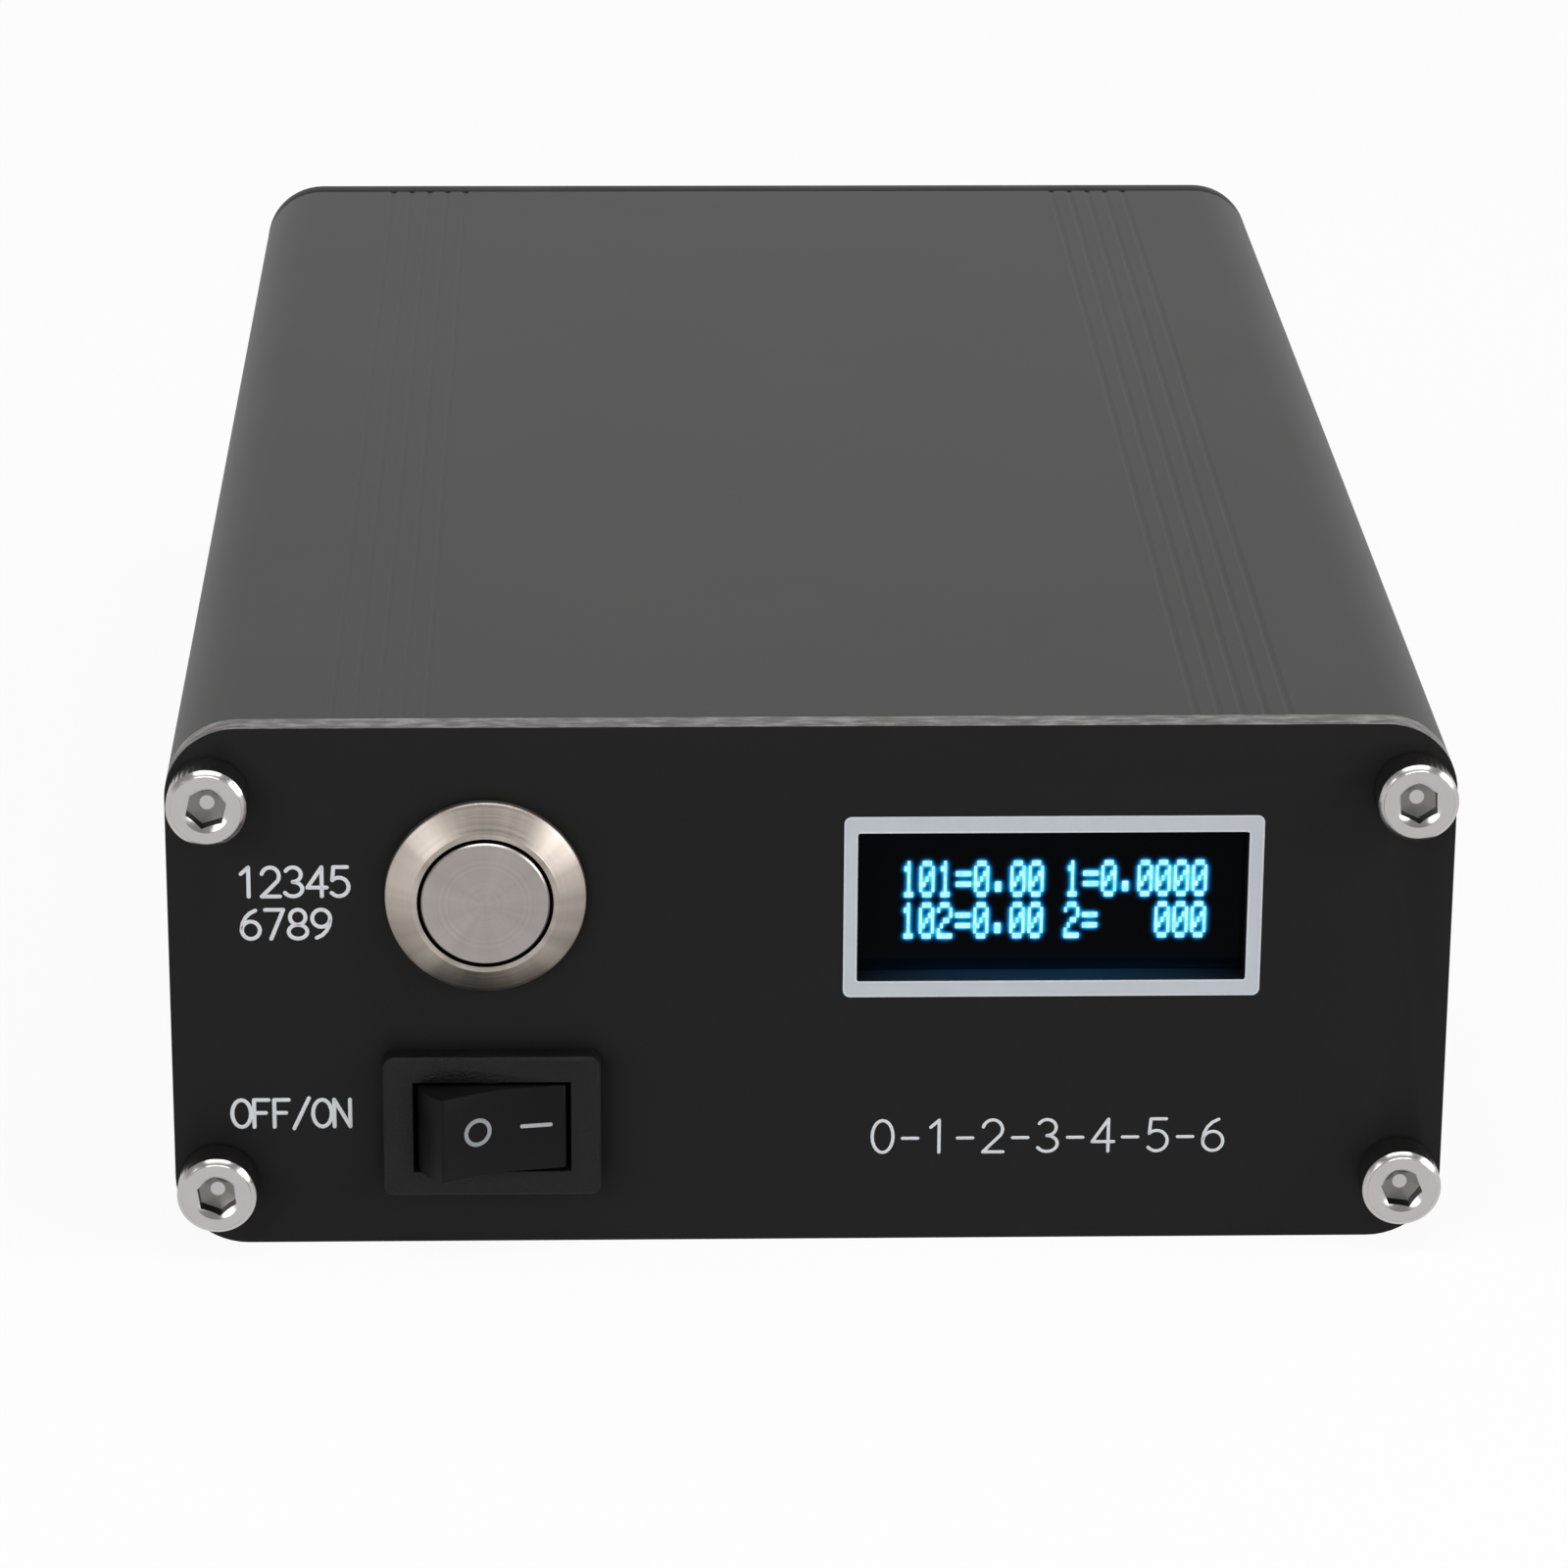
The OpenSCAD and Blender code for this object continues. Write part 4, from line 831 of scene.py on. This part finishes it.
ring_mark = lathe([(RING_MARK_IN, MARK_SINK), (RING_MARK_OUT, MARK_SINK), (RING_MARK_OUT, MARK_RISE),
                   (RING_MARK_IN, MARK_RISE)], n=48, loop=True)
dash_mark = skin([rounded(DASH_LOW, DASH_HIGH, DASH_CORNER, z) for z in (MARK_SINK, MARK_RISE)])
off_ink = print_ink("off_ink", srgb(142, 147, 152))
on_ink = print_ink("on_ink", srgb(172, 172, 174))
piece("rocker_off_mark", [placed(ring_mark, on_rocker(-1, OFF_MARK_AT))], [off_ink], "rocker")
piece("rocker_on_mark", [placed(dash_mark, on_rocker(1, ON_MARK_AT))], [on_ink], "rocker")


# Display: printed surround, lit dots and the glow round them
line_ink = [print_ink("surround_line", srgb(206, 210, 216))]
fill_ink = [print_ink("surround_ink", srgb(192, 197, 205))]
face = on_front(0, 0)


def inset(rectangle, step):
    """A rounded rectangle drawn in by a step, or let out where the step is below 0."""
    low, high, corner = rectangle
    return (low[0] + step, low[1] + step), (high[0] - step, high[1] - step), max(corner - step, 0.05)


surround = (SURROUND_LOW, SURROUND_HIGH, SURROUND_CORNER)
window_line = (*inset((WINDOW_LOW, WINDOW_HIGH, 0), -LINE_W - LINE_GAP)[:2], LINE_CORNER)
outer_line = flat_ring(surround, inset(surround, LINE_W), INK_SINK, LINE_RISE)
inner_line = flat_ring(window_line, inset(window_line, LINE_W), INK_SINK, LINE_RISE)
fill_ring = flat_ring(inset(surround, LINE_W), window_line, INK_SINK, INK_RISE)
piece("display_surround_lines", [placed(p, face) for p in (outer_line, inner_line)], line_ink, "case")
piece("display_surround", [placed(fill_ring, face)], fill_ink, "case")

# Five dots wide and seven high, as such displays draw them
DOTS = {
    "0": "01110 10001 10011 10101 11001 10001 01110",
    "1": "00100 01100 00100 00100 00100 00100 01110",
    "2": "01110 10001 00001 00110 01000 10000 11111",
    "=": "00000 00000 11111 00000 11111 00000 00000",
    ".": "00000 00000 00000 00000 01100 01100 00000",
    " ": "00000 00000 00000 00000 00000 00000 00000",
}
DISPLAY_ROWS = ("101=0.00 1=0.0000", "102=0.00 2=   000")

dots = []
for row, text in enumerate(DISPLAY_ROWS):
    for column, letter in enumerate(text):
        for line, bits in enumerate(DOTS[letter].split()):
            for across, bit in enumerate(bits):
                if bit == "1":
                    left = TEXT_LEFT + (column * CHAR_DOTS + across) * DOT_W
                    top = TEXT_TOP - row * ROW_PITCH - line * DOT_H
                    dots.append((left, top))
dot_parts = [box((x, DOT_FRONT, z - DOT_H), (x + DOT_W, DOT_FRONT + DOT_THICK, z)) for x, z in dots]
piece("display_characters", dot_parts, [lit_dots()], "case")

across_n = int((WINDOW_HIGH[0] - WINDOW_LOW[0]) / GLOW_STEP)
up_n = int((WINDOW_HIGH[1] - WINDOW_LOW[1]) / GLOW_STEP)
xs = np.linspace(WINDOW_LOW[0] + GLOW_INSET, WINDOW_HIGH[0] - GLOW_INSET, across_n)
zs = np.linspace(WINDOW_LOW[1] + GLOW_INSET, WINDOW_HIGH[1] - GLOW_INSET, up_n)
glow_points = [(x, GLOW_FRONT, z) for z in zs for x in xs]
glow_faces = []
for j in range(up_n - 1):
    for i in range(across_n - 1):
        first = j * across_n + i
        glow_faces.append((first, first + 1, first + across_n + 1, first + across_n))
glow_sheet = piece("display_glow", [(glow_points, glow_faces)], [lit_glass()], "case")
dot_middles = np.array([(x + DOT_W / 2, z - DOT_H / 2) for x, z in dots])
spots = np.array([(x, z) for x, _, z in glow_points])
apart = ((spots[:, None, :] - dot_middles[None, :, :]) ** 2).sum(2)
glow = np.exp(-apart / (2 * GLOW_REACH ** 2)).sum(1) / GLOW_FULL
# A faint painted glow along the bottom, standing for the light that the glass's edge gives back
window_middle = (WINDOW_LOW[0] + WINDOW_HIGH[0]) / 2
window_half = (WINDOW_HIGH[0] - WINDOW_LOW[0]) / 2
from_middle = np.abs(spots[:, 0] - window_middle) / window_half
edge_fade = np.clip(EDGE_GLOW_FADE - from_middle ** 3, 0, 1)
glow += EDGE_GLOW * np.exp((WINDOW_LOW[1] - spots[:, 1]) / EDGE_GLOW_H) * edge_fade
glow_values = glow_sheet.data.attributes.new("glow", "FLOAT", "POINT")
glow_values.data.foreach_set("value", np.minimum(glow, 1.0))


# Printed numbers and the ON and OFF beside the switch, drawn with a round pen

def arc(cx, cy, rx, ry, start, end):
    """Points of an ellipse from one angle to another, in degrees."""
    count = max(4, int(abs(end - start) / ARC_STEP))
    angles = [math.radians(start + (end - start) * i / count) for i in range(count + 1)]
    return [(cx + rx * math.cos(a), cy + ry * math.sin(a)) for a in angles]


SIX = [arc(0.62, 0.32, 0.6, 0.68, 105, 178), arc(0.31, 0.3, 0.29, 0.3, 180, 540)]
STROKES = {
    "0": [arc(0.3, 0.5, 0.3, 0.5, 90, 450)],
    "1": [[(0.1, 0.78), (0.34, 1), (0.34, 0)]],
    "2": [arc(0.3, 0.7, 0.28, 0.3, 165, -35) + [(0.02, 0), (0.6, 0)]],
    "3": [arc(0.28, 0.75, 0.26, 0.25, 150, -90), arc(0.28, 0.25, 0.3, 0.25, 90, -150)],
    "4": [[(0.46, 0), (0.46, 1), (0, 0.3), (0.62, 0.3)]],
    "5": [[(0.54, 1), (0.1, 1), (0.06, 0.55)] + arc(0.27, 0.32, 0.31, 0.32, 132, -140)],
    "6": SIX,
    "7": [[(0.02, 1), (0.6, 1), (0.2, 0)]],
    "8": [arc(0.3, 0.74, 0.25, 0.26, -90, 270), arc(0.3, 0.24, 0.3, 0.24, 90, 450)],
    "9": [[(0.6 - x, 1 - y) for x, y in stroke] for stroke in SIX],
    "-": [[(0.08, 0.44), (0.52, 0.44)]],
    "/": [[(0.04, -0.06), (0.56, 1.06)]],
    "O": [arc(0.32, 0.5, 0.32, 0.5, 90, 450)],
    "F": [[(0.56, 1), (0.06, 1), (0.06, 0)], [(0.06, 0.52), (0.46, 0.52)]],
    "N": [[(0.04, 0), (0.04, 1), (0.58, 0), (0.58, 1)]],
}


def split(points, limit=50):
    """Cuts a line where it turns sharply, so that each end is drawn round."""
    runs = [[points[0]]]
    for i in range(1, len(points)):
        runs[-1].append(points[i])
        if i + 1 < len(points):
            before = Vector(points[i]) - Vector(points[i - 1])
            after = Vector(points[i + 1]) - Vector(points[i])
            if before.angle(after) > math.radians(limit):
                runs.append([points[i]])
    return runs


def pen_line(points, pen_r, sides=10):
    """A flat, round-ended line of ink through points on the panel."""
    flat = [Vector(p) for p in points]
    last = len(flat) - 1
    ahead = [(flat[min(i + 1, last)] - flat[max(i - 1, 0)]).normalized() for i in range(len(flat))]
    ends = [math.radians(a) for a in (85, 60, 30)]
    stops = [(flat[0] - ahead[0] * pen_r * math.sin(a), ahead[0], math.cos(a)) for a in ends]
    stops += [(p, t, 1.0) for p, t in zip(flat, ahead)]
    stops += [(flat[-1] + ahead[-1] * pen_r * math.sin(a), ahead[-1], math.cos(a)) for a in reversed(ends)]
    rings = []
    for p, t, size in stops:
        ring = []
        for k in range(sides):
            a = 2 * math.pi * k / sides
            off = Vector((-t.y, t.x)) * pen_r * size * math.cos(a)
            ring.append((p.x + off.x, p.y + off.y, PEN_RISE * size * math.sin(a)))
        rings.append(ring)
    return skin(rings)


def lettering(text, left, right, low, high, pen_r=PEN_R):
    """A line of text that fills the given room on the panel."""
    height = high - low - 2 * pen_r
    step = (right - left - 2 * pen_r - LETTER_W * height) / (len(text) - 1)
    parts = []
    for i, letter in enumerate(text):
        for stroke in STROKES[letter]:
            line = [(left + pen_r + i * step + x * height, low + pen_r + y * height) for x, y in stroke]
            parts += [placed(pen_line(run, pen_r), face) for run in split(line)]
    return parts


label_ink = [print_ink("label_ink", srgb(216, 219, 223))]
button_lines = lettering("12345", left=-39.3, right=-31.4, low=25.7, high=28.1)
button_lines += lettering("6789", left=-39.15, right=-32.7, low=22.6, high=25.0)
switch_line = lettering("OFF/ON", left=-40.1, right=-31.6, low=8.6, high=10.9)
range_line = lettering("0-1-2-3-4-5-6", left=4.2, right=28.9, low=6.4, high=9.05, pen_r=THIN_PEN_R)
piece("button_label", button_lines, label_ink, "case")
piece("switch_label", switch_line, label_ink, "case")
piece("range_label", range_line, label_ink, "case")


# Coaxial sockets behind

def thread_wave(level, start, stop):
    """Radius and height of a right-hand thread at one level, running out at both ends."""
    def wave(a):
        phase = ((level - start) / SOCKET_PITCH - a / (2 * math.pi)) % 1
        groove = min(1.0, max(0.0, 1.25 - abs(phase - 0.5) * 3.4))
        fade = min(1.0, (level - start) / SOCKET_RUN_IN, (stop - level) / SOCKET_RUN_OUT)
        return SOCKET_THREAD_R - SOCKET_THREAD_CUT * groove * max(fade, 0.0), level
    return wave


def notched_rim(r, top):
    """A rim with four notches for a plug's teeth."""
    def wave(a):
        inside = abs((a + math.pi / 4) % (math.pi / 2) - math.pi / 4) < NOTCH_HALF
        return r, top - (NOTCH_DEPTH if inside else 0.0)
    return wave


def thread_sleeve(n=120):
    """The threaded outside of a socket, with a chamfered and notched mouth."""
    start, stop = SOCKET_FLANGE, SOCKET_FLANGE + SOCKET_THREAD_L
    inner = SOCKET_BORE_R + 0.02
    thread_top = stop - SOCKET_CHAMFER
    levels = np.linspace(start, thread_top, int((stop - start) / SOCKET_PITCH * LEVELS_PER_TURN))
    rings = [circle(inner, start, n)]
    rings += [wavy(thread_wave(level, start, thread_top), n) for level in levels]
    rings += [wavy(notched_rim(r, stop), n) for r in (SOCKET_THREAD_R - SOCKET_CHAMFER, inner)]
    return skin(rings, loop=True)


def finger(start, end, low, high, n=10):
    """One spring finger of the centre contact, between two angles."""
    section = [(CONTACT_BORE_R, low), (CONTACT_R, low), (CONTACT_R, high - CONTACT_EASE),
               (CONTACT_R - CONTACT_EASE, high), (CONTACT_BORE_R + CONTACT_MOUTH, high),
               (CONTACT_BORE_R, high - CONTACT_MOUTH)]
    angles = [start + (end - start) * i / n for i in range(n + 1)]
    return skin([[(r * math.cos(a), r * math.sin(a), z) for r, z in section] for a in angles])


def socket_shell(node, spot, place):
    """The node's own form, thinned where the threaded sleeve goes, with the sleeve on it."""
    flange_top = BACK_Y + SOCKET_FLANGE
    tube_top = flange_top + SOCKET_TUBE_L
    bm = welded(node)
    for vert in bm.verts:
        x, y, z = (c / MM for c in vert.co)
        off = Vector((x - spot.x, z - spot.z))
        if abs(off.length - SOCKET_THREAD_R) < NEAR and y > flange_top - NEAR:
            off *= (SOCKET_THREAD_R - SOCKET_THINNED) / off.length
            vert.co = Vector((spot.x + off.x, min(y, tube_top), spot.z + off.y)) * MM
        elif y > tube_top:
            vert.co.y = tube_top * MM
    eased(bm, 0.12)
    add_part(bm, placed(thread_sleeve(), place))
    clean(bm)
    finished(node + "_dressed", bm, [LOOKS["nickel"]], "case", [node])


def socket_contact(node, place):
    """The contact's tube, cut down, with four spring fingers that stand on it."""
    top = box_mm(node)[1].y
    bm = welded(node)
    for vert in bm.verts:
        if vert.co.y / MM > top - CONTACT_TOP_H:
            vert.co.y -= SLOT_DEPTH * MM
    high = top - BACK_Y
    low = high - SLOT_DEPTH - FINGER_SINK
    quarter = 2 * math.pi / FINGERS
    half_slot = SLOT_W / 2 / CONTACT_R
    for i in range(FINGERS):
        start, end = i * quarter + half_slot, (i + 1) * quarter - half_slot
        add_part(bm, placed(finger(start, end, low, high), place))
    clean(bm)
    finished(node + "_dressed", bm, [LOOKS["brass"]], "case", [node])


flange_places = []
for side in ("antenna", "transmitter"):
    spot = middle(side + "_socket_shell")
    place = on_back(spot.x, spot.z)
    socket_shell(side + "_socket_shell", spot, place)
    dressed(side + "_socket_insulator", 0.15, [LOOKS["insulator"]], "case")
    socket_contact(side + "_socket_contact", place)
    for sx in (-1, 1):
        for sz in (-1, 1):
            corner = on_back(spot.x + sx * SOCKET_SCREW_OFF, spot.z + sz * SOCKET_SCREW_OFF)
            flange_places.append(corner @ Matrix.Translation((0, 0, SOCKET_FLANGE)))
screws("socket_flange_screws", flange_places, LOW_HEAD_H, FLANGE_SHANK_L, "socket_screws")


# Power inlet behind
dressed("power_inlet_body", 0.15, [moulding("inlet_moulding", 26, 0.45)], "case")
dressed("power_inlet_pin", 0.12, [LOOKS["nickel"]], "case")


# Stage: white floor that keeps a soft shadow, pale world, soft lamps, with lengths in metres
FLOOR_HALF = 6.0
FLOOR_WHITE = 0.82
FLOOR_LIFT = 0.93
SKY_LIGHT = 0.42
SKY_LEAN = 0.8
SKY_WHITE_TO = 0.12
SKY_DIM_FROM = 0.42
SKY_DIM = 0.4
LAMP_AIM = (0, 0, 0.02)


def shown_to_eye(graph):
    """1 for what the camera, a mirror or a glass sees, and 0 for light that falls on things."""
    path = graph.add("ShaderNodeLightPath").outputs
    seen = graph.math("MAXIMUM", path["Is Camera Ray"], path["Is Glossy Ray"])
    return graph.math("MAXIMUM", seen, path["Is Transmission Ray"])


floor_corners = [(sx * FLOOR_HALF, sy * FLOOR_HALF, 0) for sx, sy in ((-1, -1), (1, -1), (1, 1), (-1, 1))]
floor_mesh = bpy.data.meshes.new("floor")
floor_mesh.from_pydata(floor_corners, [], [(0, 1, 2, 3)])
floor = bpy.data.objects.new("floor", floor_mesh)
bpy.context.scene.collection.objects.link(floor)
floor_material = bpy.data.materials.new("floor_white")
floor_material.use_nodes = True
paint = Graph(floor_material.node_tree)
paint.tree.nodes.clear()
matt = paint.add("ShaderNodeBsdfDiffuse", {"Color": grey(FLOOR_WHITE)})
lift = paint.add("ShaderNodeEmission")
share = paint.math("MULTIPLY", shown_to_eye(paint), FLOOR_LIFT)
both = paint.add("ShaderNodeMixShader", {0: share, 1: matt.outputs[0], 2: lift.outputs[0]})
paint.add("ShaderNodeOutputMaterial", {0: both.outputs[0]})
floor_mesh.materials.append(floor_material)

# White all round low down and well up behind the object, and a dimmer room above and on the viewer's side
world = bpy.data.worlds.new("studio")
bpy.context.scene.world = world
world.use_nodes = True
sky = Graph(world.node_tree)
backdrop = sky.tree.nodes["Background"]
way = sky.add("ShaderNodeSeparateXYZ", {0: sky.add("ShaderNodeTexCoord").outputs["Generated"]}).outputs
lean = sky.add("ShaderNodeMath", {0: way["Y"], 1: -SKY_LEAN, 2: 1.0}, operation="MULTIPLY_ADD").outputs[0]
rise = sky.math("MULTIPLY", way["Z"], lean)
sky.join(backdrop.inputs["Color"], sky.ramp(rise, [(SKY_WHITE_TO, grey(1.0)), (SKY_DIM_FROM, grey(SKY_DIM))]))
sky.join(backdrop.inputs["Strength"], sky.span(shown_to_eye(sky), 0.0, 1.0, SKY_LIGHT, 1.0))


def lamp(name, spot, width, depth, power):
    """A soft rectangular lamp that faces the object."""
    data = bpy.data.lights.new(name, "AREA")
    data.shape = "RECTANGLE"
    data.size = width
    data.size_y = depth
    data.energy = power
    obj = bpy.data.objects.new(name, data)
    obj.location = spot
    obj.rotation_euler = (Vector(LAMP_AIM) - Vector(spot)).to_track_quat("-Z", "Y").to_euler()
    bpy.context.scene.collection.objects.link(obj)


lamp("key", (-0.8, -0.8, 0.5), width=0.85, depth=0.7, power=4.8)
lamp("fill", (1.05, -0.35, 0.5), width=0.8, depth=0.6, power=8.0)
lamp("top", (0.0, -0.2, 1.3), width=1.2, depth=0.4, power=8.0)


# Camera at the photograph's viewing angle
IMAGE_W = 1600
FOCAL_PX = 6226.9
SENSOR_W = 36.0
CAMERA_SPOT = (-0.014475, -0.460625, 0.177358)
YAW, PITCH, ROLL = (math.radians(a) for a in (1.8432, 20.2576, 0.3821))
forward = Vector((math.sin(YAW) * math.cos(PITCH), math.cos(YAW) * math.cos(PITCH), -math.sin(PITCH)))
level_right = Vector((math.cos(YAW), -math.sin(YAW), 0))
level_up = level_right.cross(forward)
right = math.cos(ROLL) * level_right + math.sin(ROLL) * level_up
up = math.cos(ROLL) * level_up - math.sin(ROLL) * level_right
camera_data = bpy.data.cameras.new("camera")
camera_data.sensor_width = SENSOR_W
camera_data.lens = FOCAL_PX / IMAGE_W * SENSOR_W
camera_data.clip_start = 0.01
camera = bpy.data.objects.new("camera", camera_data)
camera.matrix_world = Matrix((right, up, -forward)).transposed().to_4x4()
camera.location = CAMERA_SPOT
bpy.context.scene.collection.objects.link(camera)
bpy.context.scene.camera = camera
bpy.context.scene.view_settings.view_transform = "Standard"
